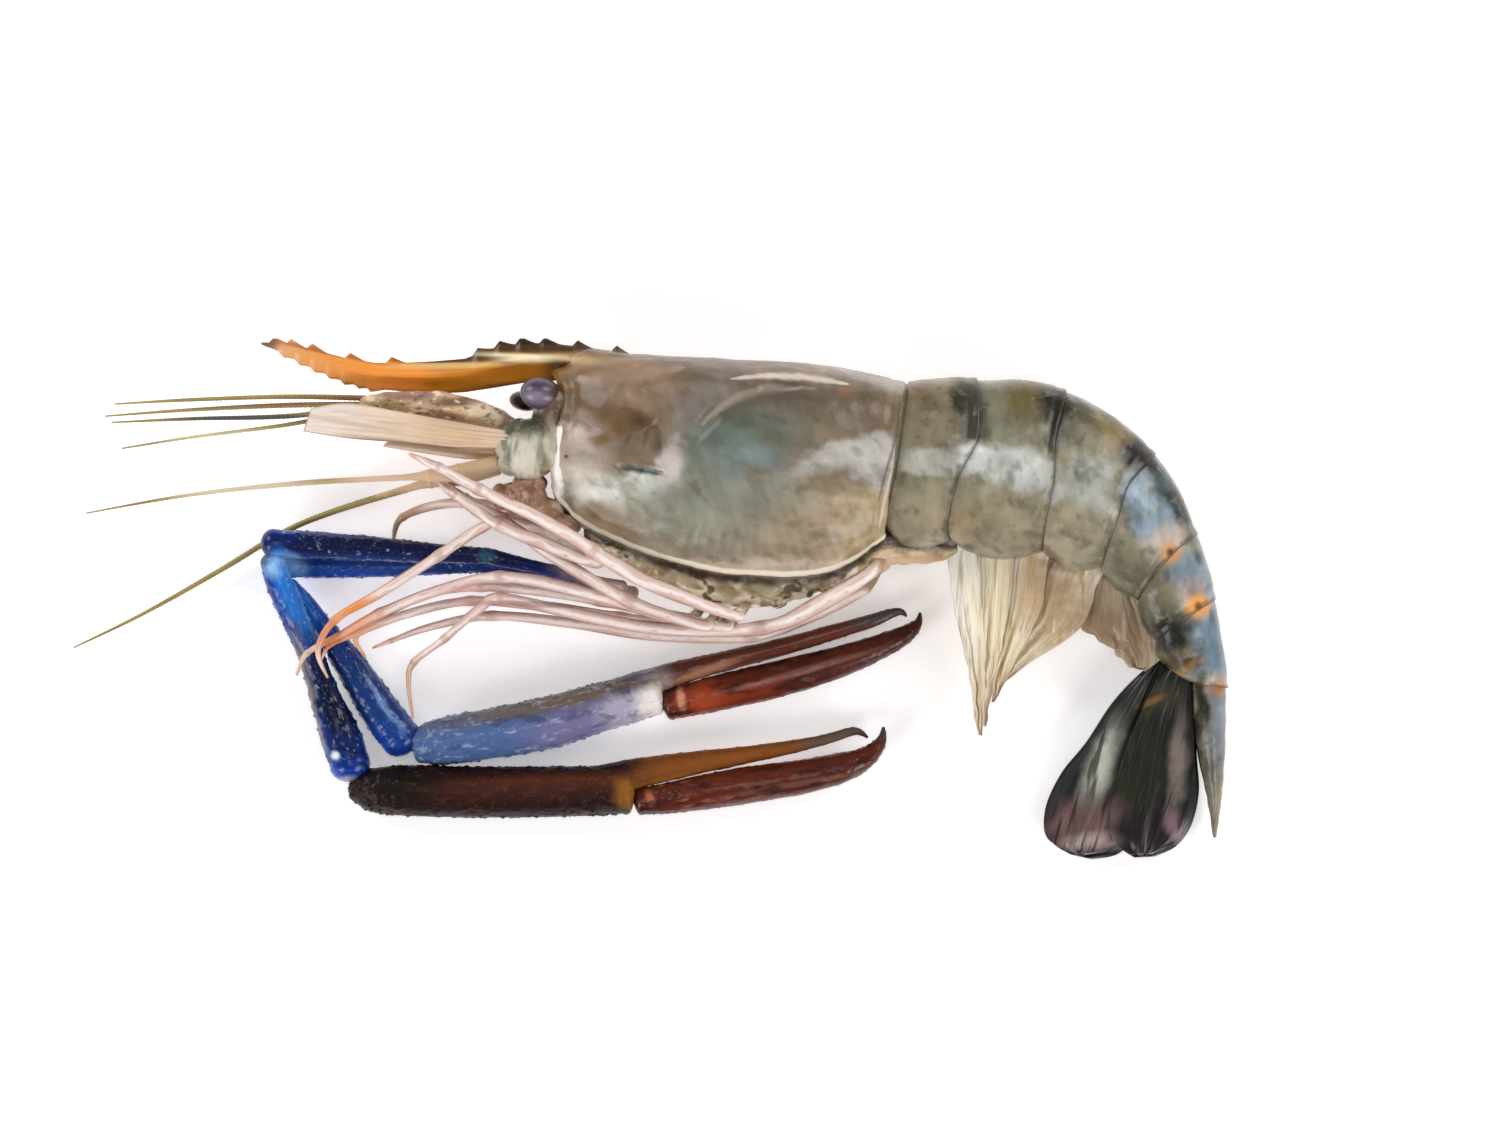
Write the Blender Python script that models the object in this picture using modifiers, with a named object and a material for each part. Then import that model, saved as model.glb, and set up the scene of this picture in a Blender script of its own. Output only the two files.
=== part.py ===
"""A raw big head prawn, the long-armed river prawn, lying on its right side as it was put down.

X runs from the head to the tail, Y from the belly to the back, and Z up from the table.
The origin is on the flat of the head shell's cheek, where it touches the table.
Every size and place below is in millimetres; MM turns them into metres.
"""

import math

import bmesh
import bpy
from mathutils import Vector

MM = 0.001
GAP = 0.3
TABLE = 0.0
PLANE = 18.5

HOOP_SIDES = 20
HOOP_SQUARENESS = 0.82
TUBE_RESOLUTION = 2
WHISKER_RESOLUTION = 1
BALL_SEGMENTS = 12
BALL_RINGS = 7

# Head shell, from front to rear: back x and y, belly x and y, half width.
HEAD_HOOPS = (
    (-38.0, 21.2, -37.6, -5.0, 8.6),
    (-32.5, 22.4, -33.5, -10.2, 11.6),
    (-25.0, 23.0, -26.0, -14.6, 14.4),
    (-15.0, 22.8, -16.0, -18.6, 16.8),
    (-4.0, 22.2, -5.0, -21.2, 18.8),
    (8.0, 21.6, 6.0, -22.2, 19.2),
    (18.0, 20.8, 15.0, -21.8, 19.0),
    (26.0, 19.2, 22.0, -19.4, 17.6),
    (33.0, 17.6, 28.4, -14.8, 16.2),
)
HEAD_REAR_PLANE = 16.9
HEAD_PLANE_BENDS_AT = 10.0
HEAD_RINGS = 16

# Rostrum, from its tip to where it runs into the back: x, upper edge, lower edge, half thickness.
ROSTRUM_STATIONS = (
    (-95.6, 25.5, 25.0, 0.30),
    (-91.0, 25.3, 23.2, 0.75),
    (-85.0, 24.0, 20.3, 1.00),
    (-79.0, 22.4, 17.8, 1.30),
    (-73.0, 21.4, 16.2, 1.60),
    (-67.0, 21.4, 15.6, 1.90),
    (-61.0, 21.7, 15.2, 2.30),
    (-55.0, 22.2, 15.5, 2.80),
    (-49.0, 24.4, 16.4, 3.30),
    (-43.0, 25.4, 17.4, 3.60),
    (-37.0, 25.2, 17.8, 3.60),
    (-31.0, 24.5, 18.0, 3.00),
    (-25.0, 23.7, 18.2, 2.20),
    (-19.0, 22.4, 18.4, 1.40),
)
UPPER_TEETH = (-93.0, -89.6, -85.4, -77.8, -69.6, -52.4, -48.0, -43.8, -39.0, -32.4, -24.6)
LOWER_TEETH = (-91.2, -88.0, -85.0, -82.0, -79.0, -76.2, -73.8)
UPPER_TOOTH_HEIGHT = 1.0
LOWER_TOOTH_HEIGHT = 0.7
TOOTH_BACK = 2.3
TOOTH_FRONT = 0.5
ROSTRUM_STEP = 2.4
ROSTRUM_RIB = 0.55
ROSTRUM_KEEL = 0.08
ROSTRUM_FLANK = 0.42

# Eyes and the swellings that the feelers stand on: x, y, distance from the plane, three half sizes.
EYES = {"left": (-40.0, 15.2, 7.8, (4.0, 3.2, 3.5)), "right": (-43.6, 13.7, -7.8, (3.9, 3.2, 3.5))}
FEELER_BASES = {
    "left": (-43.4, 4.6, 6.6, (5.1, 5.9, 5.4)),
    "right": (-43.4, 4.2, -6.6, (5.1, 5.8, 5.4)),
}
MOUTH = (-44.2, -4.9, 0.0, (5.8, 3.0, 7.0))

# Under the head shell: x, lowest y, half width.
CHEST_STATIONS = (
    (-31.0, -15.0, 6.0),
    (-24.0, -20.6, 9.0),
    (-16.0, -24.6, 11.0),
    (-6.0, -27.2, 12.4),
    (4.0, -27.6, 12.6),
    (13.0, -25.4, 11.8),
    (21.0, -22.2, 10.4),
    (30.0, -19.4, 8.8),
    (39.0, -18.6, 6.4),
)
CHEST_TOP = -9.0
CHEST_RINGS = 13
HIP_PLACES = ((-20.0, -20.8), (-11.0, -23.8), (-1.5, -25.4), (7.4, -24.6))
HIP_SPREAD = 7.4
HIP_RADIUS = 3.2

# Joint lines of the tail's rings as seen from the side, each from back to belly,
# with the half width and the height of the plane there.
TAIL_EDGES = (
    (((33.8, 17.6), (32.6, 9.0), (31.2, 0.0), (29.6, -8.0), (28.9, -14.0)), 15.4, 16.4),
    (((47.2, 17.9), (47.4, 6.6), (43.4, -1.6), (41.4, -10.0), (41.6, -15.8)), 14.9, 15.2),
    (((65.2, 15.6), (62.8, 5.6), (62.6, -2.0), (60.8, -10.0), (60.0, -17.8)), 14.2, 14.0),
    (((83.0, 3.0), (77.6, -3.0), (75.4, -9.0), (73.4, -15.0), (71.8, -20.8)), 12.6, 12.2),
    (((91.4, -13.0), (87.6, -15.8), (84.2, -19.0), (81.4, -22.8), (79.0, -26.4)), 10.6, 10.4),
    (((95.2, -26.0), (92.0, -27.8), (88.6, -30.0), (85.4, -32.4), (82.6, -34.4)), 8.8, 8.6),
    (((97.8, -43.6), (94.8, -43.4), (91.6, -42.7), (88.4, -41.4), (85.2, -39.4)), 6.6, 7.0),
)
TAIL_FLARES = ((-0.02, 0.0), (0.03, 0.03), (-0.01, 0.03), (-0.02, 0.03), (-0.02, 0.03), (-0.02, 0.02))
TAIL_BULGE = 0.015
TAIL_RINGS = 6
TAIL_JOINT = 0.02

# Tail spine from its root to its point: x, y, z, radius.
TELSON = (
    (94.4, -44.3, 6.8, 2.9),
    (94.6, -50.0, 6.4, 3.1),
    (95.2, -57.0, 5.6, 2.5),
    (95.6, -65.0, 4.6, 1.5),
    (95.4, -73.6, 3.4, 0.35),
)
TELSON_POINTS = 9

# Tail fan blades: outer edge, inner edge, height of the blade's middle.
OUTER_BLADE = (
    (
        (81.6, -39.6), (75.0, -46.2), (69.4, -54.6), (64.6, -60.6), (61.4, -67.4), (61.4, -73.4),
        (65.2, -76.2),
    ),
    (
        (85.4, -40.6), (85.6, -48.4), (84.0, -57.0), (82.6, -64.0), (79.6, -71.2), (75.0, -76.0),
        (69.6, -77.2),
    ),
)
INNER_BLADE = (
    (
        (84.6, -40.4), (80.8, -47.8), (77.4, -56.0), (75.4, -63.0), (74.2, -69.4), (75.0, -74.4),
        (78.6, -77.2),
    ),
    (
        (90.6, -43.2), (91.0, -49.4), (91.2, -57.0), (91.6, -64.0), (90.2, -70.4), (87.2, -74.8),
        (82.8, -77.0),
    ),
)
FAN_BLADES = {
    "uropod_outer_left": (OUTER_BLADE, 6.9, (0.0, 0.0)),
    "uropod_inner_left": (INNER_BLADE, 8.3, (0.0, 0.0)),
    "uropod_outer_right": (OUTER_BLADE, 3.4, (1.2, -1.0)),
    "uropod_inner_right": (INNER_BLADE, 4.9, (0.6, -0.6)),
}
FAN_THICKNESS = 0.8
FAN_DROP = 2.4
FAN_BOW = 0.5
FAN_ROWS = 11
FAN_COLUMNS = 5

# Swimmerets under the tail, first pair at the front: front edge, rear edge.
SWIMMERETS = (
    (
        ((41.4, -17.2), (42.6, -26.0), (44.4, -34.0), (46.2, -43.0), (47.6, -53.0)),
        ((47.4, -17.4), (48.2, -26.0), (48.8, -34.0), (49.0, -43.0), (48.5, -53.2)),
    ),
    (
        ((47.4, -18.0), (47.6, -26.0), (47.6, -34.0), (47.8, -43.0), (48.6, -51.4)),
        ((54.6, -18.4), (53.8, -26.0), (52.6, -34.0), (51.0, -42.0), (49.4, -51.2)),
    ),
    (
        ((54.0, -18.6), (53.4, -26.0), (52.2, -33.0), (51.0, -39.6), (50.4, -46.4)),
        ((61.4, -19.4), (60.4, -27.0), (57.8, -33.0), (54.6, -39.0), (51.2, -46.2)),
    ),
    (
        ((60.6, -19.8), (58.6, -27.6), (56.0, -32.6), (54.0, -37.4), (52.4, -42.4)),
        ((71.4, -23.2), (69.4, -30.0), (65.0, -34.2), (58.6, -38.2), (53.0, -42.6)),
    ),
    (
        ((71.0, -24.0), (69.8, -29.2), (68.6, -31.4), (68.0, -33.0), (67.8, -34.4)),
        ((78.6, -28.4), (77.8, -32.2), (75.6, -34.4), (72.0, -35.2), (68.6, -34.8)),
    ),
)
SWIMMERET_LEVELS = {"left": (17.6, -1.5), "right": (9.4, -1.3)}
SWIMMERET_THICKNESS = 0.6
SWIMMERET_DROP = 2.0
SWIMMERET_WAVE = 0.35
SWIMMERET_FOLDS = 3
SWIMMERET_ROWS = 7
SWIMMERET_COLUMNS = 4

# Long claws: x, y, z, radius of each piece from its root to its end.
ARMS = {
    "left": {
        "ischium": (
            (-23.6, -23.4, 20.2, 1.3), (-31.0, -21.9, 17.6, 1.25), (-40.0, -19.6, 15.4, 1.3),
            (-49.6, -17.3, 14.0, 1.45),
        ),
        "merus": (
            (-50.4, -17.1, 13.9, 1.5), (-60.0, -16.7, 13.0, 1.9), (-72.0, -15.8, 11.4, 2.4),
            (-84.0, -15.0, 9.8, 2.6), (-93.8, -14.6, 8.8, 2.6),
        ),
        "carpus": (
            (-93.8, -18.4, 8.6, 2.3), (-92.6, -22.0, 8.3, 2.7), (-89.6, -29.0, 7.8, 2.7),
            (-86.2, -37.0, 7.0, 2.6), (-83.4, -45.0, 6.0, 3.0), (-80.0, -54.0, 5.2, 4.1),
            (-78.2, -59.2, 5.0, 3.9),
        ),
        "palm": (
            (-77.6, -63.6, 5.0, 2.9), (-74.0, -63.9, 5.1, 4.4), (-66.0, -64.4, 5.2, 5.1),
            (-52.0, -64.6, 5.2, 5.1), (-36.0, -64.5, 5.2, 5.0), (-25.5, -63.9, 5.2, 4.8),
            (-20.6, -62.4, 5.1, 3.5), (-15.8, -60.2, 5.0, 2.4), (-10.0, -58.8, 5.0, 2.0),
            (-1.0, -57.6, 4.9, 1.6), (9.0, -56.0, 4.8, 1.2), (17.0, -54.2, 4.7, 1.0),
            (23.0, -52.4, 4.6, 0.8), (25.6, -53.6, 4.6, 0.3),
        ),
        "finger": (
            (-16.6, -66.6, 5.0, 1.6), (-14.6, -66.2, 5.0, 2.5), (-9.6, -65.2, 5.0, 3.1),
            (0.0, -63.5, 5.0, 3.6), (12.0, -61.6, 4.9, 3.5), (20.0, -59.8, 4.8, 3.1),
            (25.0, -57.8, 4.7, 2.2), (28.2, -54.6, 4.6, 1.2), (28.8, -51.6, 4.6, 0.3),
        ),
    },
    "right": {
        "ischium": (
            (-21.4, -24.6, 7.4, 1.3), (-30.0, -23.0, 6.6, 1.25), (-41.0, -20.7, 5.8, 1.3),
            (-52.0, -19.1, 5.3, 1.4),
        ),
        "merus": (
            (-52.8, -19.0, 5.2, 1.5), (-62.0, -19.2, 4.8, 1.8), (-74.0, -19.5, 4.3, 2.0),
            (-84.0, -19.5, 4.0, 2.1), (-92.0, -19.3, 3.9, 2.1),
        ),
        "carpus": (
            (-90.4, -23.3, 3.8, 1.7), (-87.6, -26.4, 3.8, 1.9), (-83.6, -31.6, 3.9, 2.1),
            (-79.6, -37.2, 4.0, 2.4), (-74.0, -45.6, 4.2, 3.1), (-70.4, -50.9, 4.5, 3.7),
            (-68.0, -53.9, 4.7, 3.6),
        ),
        "palm": (
            (-64.8, -55.4, 5.0, 3.2), (-61.0, -54.6, 5.1, 4.6), (-52.0, -53.2, 5.2, 5.0),
            (-40.0, -51.0, 5.3, 5.2), (-28.0, -47.6, 5.1, 4.9), (-21.6, -45.8, 5.0, 4.4),
            (-17.4, -43.8, 4.9, 3.3), (-13.4, -41.2, 4.8, 2.2), (-8.0, -39.2, 4.8, 1.8),
            (-2.0, -37.8, 4.8, 1.7), (8.0, -35.4, 4.8, 1.7), (18.0, -32.6, 4.7, 1.6),
            (26.0, -30.2, 4.6, 1.4), (31.6, -28.3, 4.5, 0.9), (33.4, -29.2, 4.5, 0.3),
        ),
        "finger": (
            (-12.8, -47.2, 4.8, 1.6), (-10.8, -46.5, 4.8, 2.6), (-4.0, -44.6, 4.8, 3.4),
            (8.0, -41.8, 4.8, 3.6), (20.0, -38.4, 4.7, 3.2), (28.0, -35.4, 4.6, 2.5),
            (33.0, -33.0, 4.5, 1.9), (35.6, -30.8, 4.5, 1.0), (36.2, -28.6, 4.5, 0.3),
        ),
    },
}
ARM_POINTS = {"ischium": 6, "merus": 8, "carpus": 10, "palm": 20, "finger": 13}

# Walking legs and mouth legs: x, y, z, radius from the root to the point.
LEGS = {
    "leg1_left": (
        (-2.0, -28.8, 31.2, 1.1), (-18.0, -22.6, 31.6, 1.5), (-29.0, -16.2, 31.0, 1.5),
        (-40.0, -9.6, 30.2, 1.3), (-52.0, -3.9, 29.6, 1.2), (-60.0, 0.4, 29.2, 1.0),
        (-65.6, 3.0, 28.8, 0.35),
    ),
    "leg1_right": (
        (-24.6, -17.0, 9.0, 1.0), (-36.0, -14.0, 9.4, 1.2), (-46.0, -8.0, 9.8, 1.1),
        (-58.0, -6.6, 9.6, 1.0), (-67.6, -9.4, 8.6, 0.8), (-69.6, -14.2, 7.4, 0.3),
    ),
    "maxilliped_left": (
        (-29.6, -18.4, 25.6, 1.1), (-38.0, -15.2, 25.8, 1.3), (-48.0, -11.0, 25.6, 1.2),
        (-56.6, -5.2, 23.8, 1.0), (-60.2, -2.4, 22.2, 0.4),
    ),
    "maxilliped_right": (
        (-29.8, -17.4, 12.8, 1.1), (-38.0, -12.6, 13.0, 1.3), (-47.0, -9.8, 13.2, 1.2),
        (-55.0, -5.6, 13.0, 1.0), (-58.4, -3.0, 12.8, 0.4),
    ),
    "leg3_left": (
        (-8.0, -30.8, 27.4, 1.1), (-22.0, -26.2, 26.0, 1.3), (-36.0, -18.0, 22.6, 1.3),
        (-47.0, -10.6, 20.4, 1.2), (-52.0, -11.8, 19.4, 1.1), (-60.0, -17.0, 18.0, 1.1),
        (-72.0, -24.6, 16.0, 1.0), (-81.0, -30.0, 15.2, 0.8), (-84.4, -36.0, 15.0, 0.6),
        (-82.6, -41.4, 13.6, 0.25),
    ),
    "leg4_left": (
        (-4.0, -31.2, 24.0, 1.1), (-16.0, -28.8, 22.8, 1.3), (-34.0, -23.6, 20.0, 1.3),
        (-48.0, -21.4, 18.2, 1.2), (-60.0, -24.0, 16.0, 1.1), (-72.0, -28.6, 14.0, 1.0),
        (-80.0, -33.0, 13.0, 0.75), (-86.6, -36.6, 12.4, 0.6), (-88.8, -41.0, 11.0, 0.25),
    ),
    "leg3_right": (
        (-11.0, -29.6, 12.8, 1.1), (-28.0, -26.2, 12.0, 1.1), (-40.0, -24.2, 11.0, 1.1),
        (-52.0, -23.4, 10.4, 1.0), (-62.0, -24.6, 9.8, 0.95), (-72.0, -29.4, 9.2, 0.8),
        (-77.0, -33.4, 8.6, 0.6), (-75.2, -37.4, 7.6, 0.25),
    ),
    "leg4_right": (
        (-6.0, -31.8, 10.4, 1.1), (-24.0, -29.6, 10.2, 1.2), (-40.0, -27.2, 10.6, 1.1),
        (-54.0, -26.2, 10.6, 1.0), (-66.0, -28.6, 10.8, 0.9), (-76.0, -32.4, 11.2, 0.7),
        (-82.0, -35.0, 11.6, 0.5), (-83.8, -37.8, 11.4, 0.25),
    ),
    "leg5_left": (
        (25.4, -20.8, 28.4, 1.4), (16.0, -26.6, 25.8, 1.7), (4.0, -31.6, 21.2, 1.4),
        (-18.0, -31.4, 19.0, 1.3), (-36.0, -28.0, 17.6, 1.2), (-48.0, -25.6, 16.8, 1.15),
        (-52.0, -27.6, 16.0, 1.0), (-59.0, -33.6, 13.4, 0.8), (-65.4, -38.6, 11.4, 0.7),
        (-66.4, -43.0, 10.2, 0.5), (-65.6, -49.6, 8.8, 0.25),
    ),
    "leg5_right": (
        (24.0, -24.4, 8.4, 1.2), (14.0, -29.2, 7.8, 1.4), (2.0, -33.2, 7.4, 1.3),
        (-18.0, -33.0, 7.4, 1.2), (-34.0, -30.6, 7.4, 1.1), (-50.0, -29.2, 7.6, 1.0),
        (-62.0, -31.4, 7.8, 0.8), (-70.0, -34.2, 7.8, 0.5), (-73.6, -35.6, 7.8, 0.25),
    ),
}
LEG_POINTS_PER_STRETCH = 2

# Feelers: a jointed root and long whips, each as x, y, z, radius.
FEELERS = {
    "antenna_left": (
        (-48.6, 1.2, 25.2, 1.7), (-56.0, -0.6, 25.6, 1.7), (-62.0, -1.2, 25.4, 1.2),
        (-68.0, -1.6, 25.0, 0.6), (-88.0, -2.7, 22.2, 0.5), (-110.0, -5.0, 16.8, 0.35),
        (-131.0, -8.6, 10.0, 0.15),
    ),
    "antenna_right": (
        (-48.6, 0.6, 11.8, 1.7), (-56.0, -1.4, 11.4, 1.7), (-62.0, -2.4, 10.8, 1.2),
        (-67.0, -3.8, 10.0, 0.75), (-82.0, -8.4, 6.6, 0.6), (-92.0, -12.6, 4.2, 0.55),
        (-104.0, -19.8, 3.0, 0.5), (-120.0, -28.8, 1.6, 0.35), (-134.0, -35.6, 0.6, 0.15),
    ),
}
FEELER_POINTS = 26
ANTENNULE_ROOT = (
    (-47.4, 9.8, 2.9, 1.4), (-52.0, 11.2, 3.4, 2.0), (-58.0, 12.6, 3.7, 2.4),
    (-64.0, 13.2, 3.7, 2.3), (-70.0, 13.5, 3.7, 1.8), (-74.4, 13.6, 3.7, 1.2),
)
ANTENNULE_ROOT_POINTS = 9
ANTENNULE_WHIPS = {
    "left": (
        (
            (-72.4, 14.2, 22.2, 0.55), (-90.0, 14.6, 20.6, 0.45), (-110.0, 14.0, 17.4, 0.35),
            (-125.0, 13.2, 14.6, 0.15),
        ),
        (
            (-72.4, 13.0, 22.2, 0.55), (-90.0, 12.9, 19.8, 0.5), (-110.0, 12.0, 16.0, 0.35),
            (-127.0, 10.8, 12.6, 0.15),
        ),
    ),
    "right": (
        (
            (-72.4, 14.0, 14.8, 0.55), (-88.0, 11.0, 13.2, 0.5), (-110.0, 10.3, 10.0, 0.35),
            (-126.0, 9.6, 7.6, 0.15),
        ),
        (
            (-72.4, 12.6, 14.8, 0.5), (-90.0, 9.2, 12.0, 0.4), (-110.0, 6.6, 9.0, 0.3),
            (-124.0, 4.4, 7.0, 0.15),
        ),
    ),
}
WHIP_POINTS = 9

# Feeler scales, the flat blades beside the feelers: upper edge, lower edge, height of the blade.
FEELER_SCALES = {
    "left": (
        ((-48.9, 8.2), (-58.0, 9.8), (-68.0, 11.6), (-78.0, 13.2), (-85.4, 12.2)),
        ((-48.9, 3.4), (-58.0, 4.4), (-68.0, 5.4), (-78.0, 6.2), (-87.0, 7.6)), 27.4,
    ),
    "right": (
        ((-48.9, 7.0), (-54.0, 7.8), (-60.0, 8.0), (-66.0, 7.4), (-71.0, 5.6)),
        ((-48.9, 2.0), (-54.0, 2.2), (-60.0, 2.9), (-66.0, 3.8), (-71.6, 4.7)), 9.4,
    ),
}
SCALE_THICKNESS = 0.9
SCALE_ROWS = 9
SCALE_COLUMNS = 4
SCALE_BOW = 0.9
SCALE_DROP = 1.5

FINISHES = {
    "head shell": ((0.25, 0.22, 0.17), 0.25),
    "tail shell": ((0.24, 0.24, 0.18), 0.25),
    "under body": ((0.45, 0.36, 0.24), 0.4),
    "eye": ((0.10, 0.07, 0.14), 0.15),
    "mouth parts": ((0.36, 0.22, 0.17), 0.4),
    "feeler": ((0.42, 0.36, 0.22), 0.4),
    "feeler scale": ((0.66, 0.55, 0.46), 0.35),
    "blue claw shell": ((0.02, 0.07, 0.30), 0.3),
    "brown claw shell": ((0.10, 0.03, 0.02), 0.4),
    "claw finger": ((0.13, 0.03, 0.02), 0.35),
    "leg shell": ((0.72, 0.50, 0.42), 0.35),
    "swimmeret": ((0.72, 0.60, 0.42), 0.4),
    "tail fan": ((0.08, 0.08, 0.07), 0.3),
}


def clear_scene():
    """Removes what a new file starts with."""
    for thing in list(bpy.data.objects):
        bpy.data.objects.remove(thing)


def make_collection(name):
    """A collection of that name in the scene."""
    collection = bpy.data.collections.new(name)
    bpy.context.scene.collection.children.link(collection)
    return collection


def make_finish(name):
    """The Principled material of that name."""
    made = bpy.data.materials.get(name)
    if made:
        return made
    colour, roughness = FINISHES[name]
    made = bpy.data.materials.new(name)
    made.use_nodes = True
    shader = made.node_tree.nodes["Principled BSDF"]
    shader.inputs["Base Color"].default_value = (*colour, 1.0)
    shader.inputs["Roughness"].default_value = roughness
    shader.inputs["Metallic"].default_value = 0.0
    made.diffuse_color = (*colour, 1.0)
    return made


def add_object(name, data, finish, collection):
    """An object of that data in the collection, with its finish."""
    made = bpy.data.objects.new(name, data)
    collection.objects.link(made)
    data.materials.append(make_finish(finish))
    return made


def between(before, start, end, after, t):
    """One number at t on the smooth curve from start to end."""
    slope = end - before
    bend = 2 * before - 5 * start + 4 * end - after
    rest = 3 * start - before - 3 * end + after
    return 0.5 * (2 * start + slope * t + bend * t * t + rest * t * t * t)


def row_at(rows, place):
    """The row of numbers at place, from 0 to 1, on a smooth curve through the rows."""
    spans = len(rows) - 1
    reach = min(max(place, 0.0), 1.0) * spans
    k = min(int(reach), spans - 1)
    around = rows[max(k - 1, 0)], rows[k], rows[k + 1], rows[min(k + 2, spans)]
    return tuple(between(*numbers, reach - k) for numbers in zip(*around))


def spread(rows, count):
    """That many rows read evenly along the curve through the given rows."""
    return [row_at(rows, i / (count - 1)) for i in range(count)]


def line_at(rows, x):
    """The row at x on the straight lines between rows that start with their own x."""
    for low, high in zip(rows, rows[1:]):
        if x <= high[0]:
            break
    t = (x - low[0]) / (high[0] - low[0])
    return tuple(a + (b - a) * t for a, b in zip(low, high))


def skin(name, rings, finish, collection):
    """A closed body whose skin runs through the rings, with a point in the middle of each end."""
    shape = bmesh.new()
    loops = [[shape.verts.new(point * MM) for point in ring] for ring in rings]
    count = len(rings[0])
    for low, high in zip(loops, loops[1:]):
        for i in range(count):
            j = (i + 1) % count
            shape.faces.new((low[i], low[j], high[j], high[i]))
    for ring, loop in ((rings[0], loops[0]), (rings[-1], loops[-1])):
        middle = shape.verts.new(sum(ring, Vector()) / count * MM)
        for i in range(count):
            shape.faces.new((loop[i], loop[(i + 1) % count], middle))
    bmesh.ops.recalc_face_normals(shape, faces=shape.faces)
    mesh = bpy.data.meshes.new(name)
    shape.to_mesh(mesh)
    shape.free()
    mesh.shade_smooth()
    return add_object(name, mesh, finish, collection)


def hoop(edge, half_width, plane, swell=0.0):
    """One ring round the body. Edge is its line from back to belly, seen from the side."""
    middle = row_at(edge, 0.5)
    points = []
    for i in range(HOOP_SIDES):
        turn = math.tau * (i + 0.5) / HOOP_SIDES
        across = math.copysign(abs(math.cos(turn)) ** HOOP_SQUARENESS, math.cos(turn))
        x, y = row_at(edge, (1 - math.sin(turn)) / 2)
        x += (x - middle[0]) * swell
        y += (y - middle[1]) * swell
        z = plane + half_width * (1 + swell) * across
        points.append(Vector((x, y, max(z, TABLE))))
    return points


def head_plane(x):
    """Height of the head's plane of symmetry, which drops a little towards the tail."""
    rear_x = HEAD_HOOPS[-1][0]
    share = max(0.0, (x - HEAD_PLANE_BENDS_AT) / (rear_x - HEAD_PLANE_BENDS_AT))
    return PLANE + (HEAD_REAR_PLANE - PLANE) * share


def head_body(name, grow, collection):
    """The head shell without its rostrum, grown by that many millimetres."""
    rings = []
    for back_x, back_y, belly_x, belly_y, half in spread(HEAD_HOOPS, HEAD_RINGS):
        edge = ((back_x, back_y + grow), (belly_x, belly_y - grow))
        rings.append(hoop(edge, half + grow, head_plane(back_x)))
    if grow:
        for point in rings[-1]:
            point.x += grow
    return skin(name, rings, "head shell", collection)


def tooth_rise(x, teeth, height):
    """How far the teeth of an edge stand out at x. They lean forwards, steep in front."""
    rise = 0.0
    for tip in teeth:
        if tip <= x <= tip + TOOTH_BACK:
            rise = max(rise, height * (1 - (x - tip) / TOOTH_BACK))
        elif tip - TOOTH_FRONT < x < tip:
            rise = max(rise, height * (1 - (tip - x) / TOOTH_FRONT))
    return rise


def rostrum(collection):
    """The toothed blade on the head, a thin keel with a thicker rib along its middle."""
    first, last = ROSTRUM_STATIONS[0][0], ROSTRUM_STATIONS[-1][0]
    steps = int((last - first) / ROSTRUM_STEP)
    places = {round(first + (last - first) * i / steps, 2) for i in range(steps + 1)}
    for tip in UPPER_TEETH + LOWER_TEETH:
        places |= {round(tip - TOOTH_FRONT, 2), round(tip, 2)}
    kept = []
    for x in sorted(places):
        if not kept or x - kept[-1] > TOOTH_FRONT / 2:
            kept.append(x)
    rings = []
    for x in kept:
        _, top, bottom, half = line_at(ROSTRUM_STATIONS, x)
        rib = bottom + (top - bottom) * ROSTRUM_RIB
        top += tooth_rise(x, UPPER_TEETH, UPPER_TOOTH_HEIGHT)
        bottom -= tooth_rise(x, LOWER_TEETH, LOWER_TOOTH_HEIGHT)
        upper, lower = (top + rib) / 2, (rib + bottom) / 2
        shares = ROSTRUM_KEEL, ROSTRUM_FLANK, 1.0, ROSTRUM_FLANK, ROSTRUM_KEEL
        side = list(zip((top, upper, rib, lower, bottom), shares))
        ring = [Vector((x, y, PLANE + half * share)) for y, share in side]
        ring += [Vector((x, y, PLANE - half * share)) for y, share in reversed(side)]
        rings.append(ring)
    return skin("rostrum", rings, "head shell", collection)


def ball(name, place, finish, collection, grow=0.0):
    """An egg shape: x, y, distance from the plane of symmetry, three half sizes."""
    x, y, off, sizes = place
    mesh = bpy.data.meshes.new(name)
    shape = bmesh.new()
    bmesh.ops.create_uvsphere(shape, u_segments=BALL_SEGMENTS, v_segments=BALL_RINGS, radius=1.0)
    for vertex in shape.verts:
        for axis in range(3):
            vertex.co[axis] *= (sizes[axis] + grow) * MM
        vertex.co += Vector((x, y, PLANE + off)) * MM
    shape.to_mesh(mesh)
    shape.free()
    mesh.shade_smooth()
    return add_object(name, mesh, finish, collection)


def apply_boolean(target, others, operation):
    """Joins the others to the target, or cuts them from it, and removes them."""
    for other in others:
        change = target.modifiers.new(operation, "BOOLEAN")
        change.operation = operation
        change.solver = "EXACT"
        change.object = other
    bpy.context.view_layer.update()
    seen = target.evaluated_get(bpy.context.evaluated_depsgraph_get())
    mesh = bpy.data.meshes.new_from_object(seen)
    target.modifiers.clear()
    target.data = mesh
    mesh.shade_smooth()
    for other in others:
        bpy.data.objects.remove(other)
    return target


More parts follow.
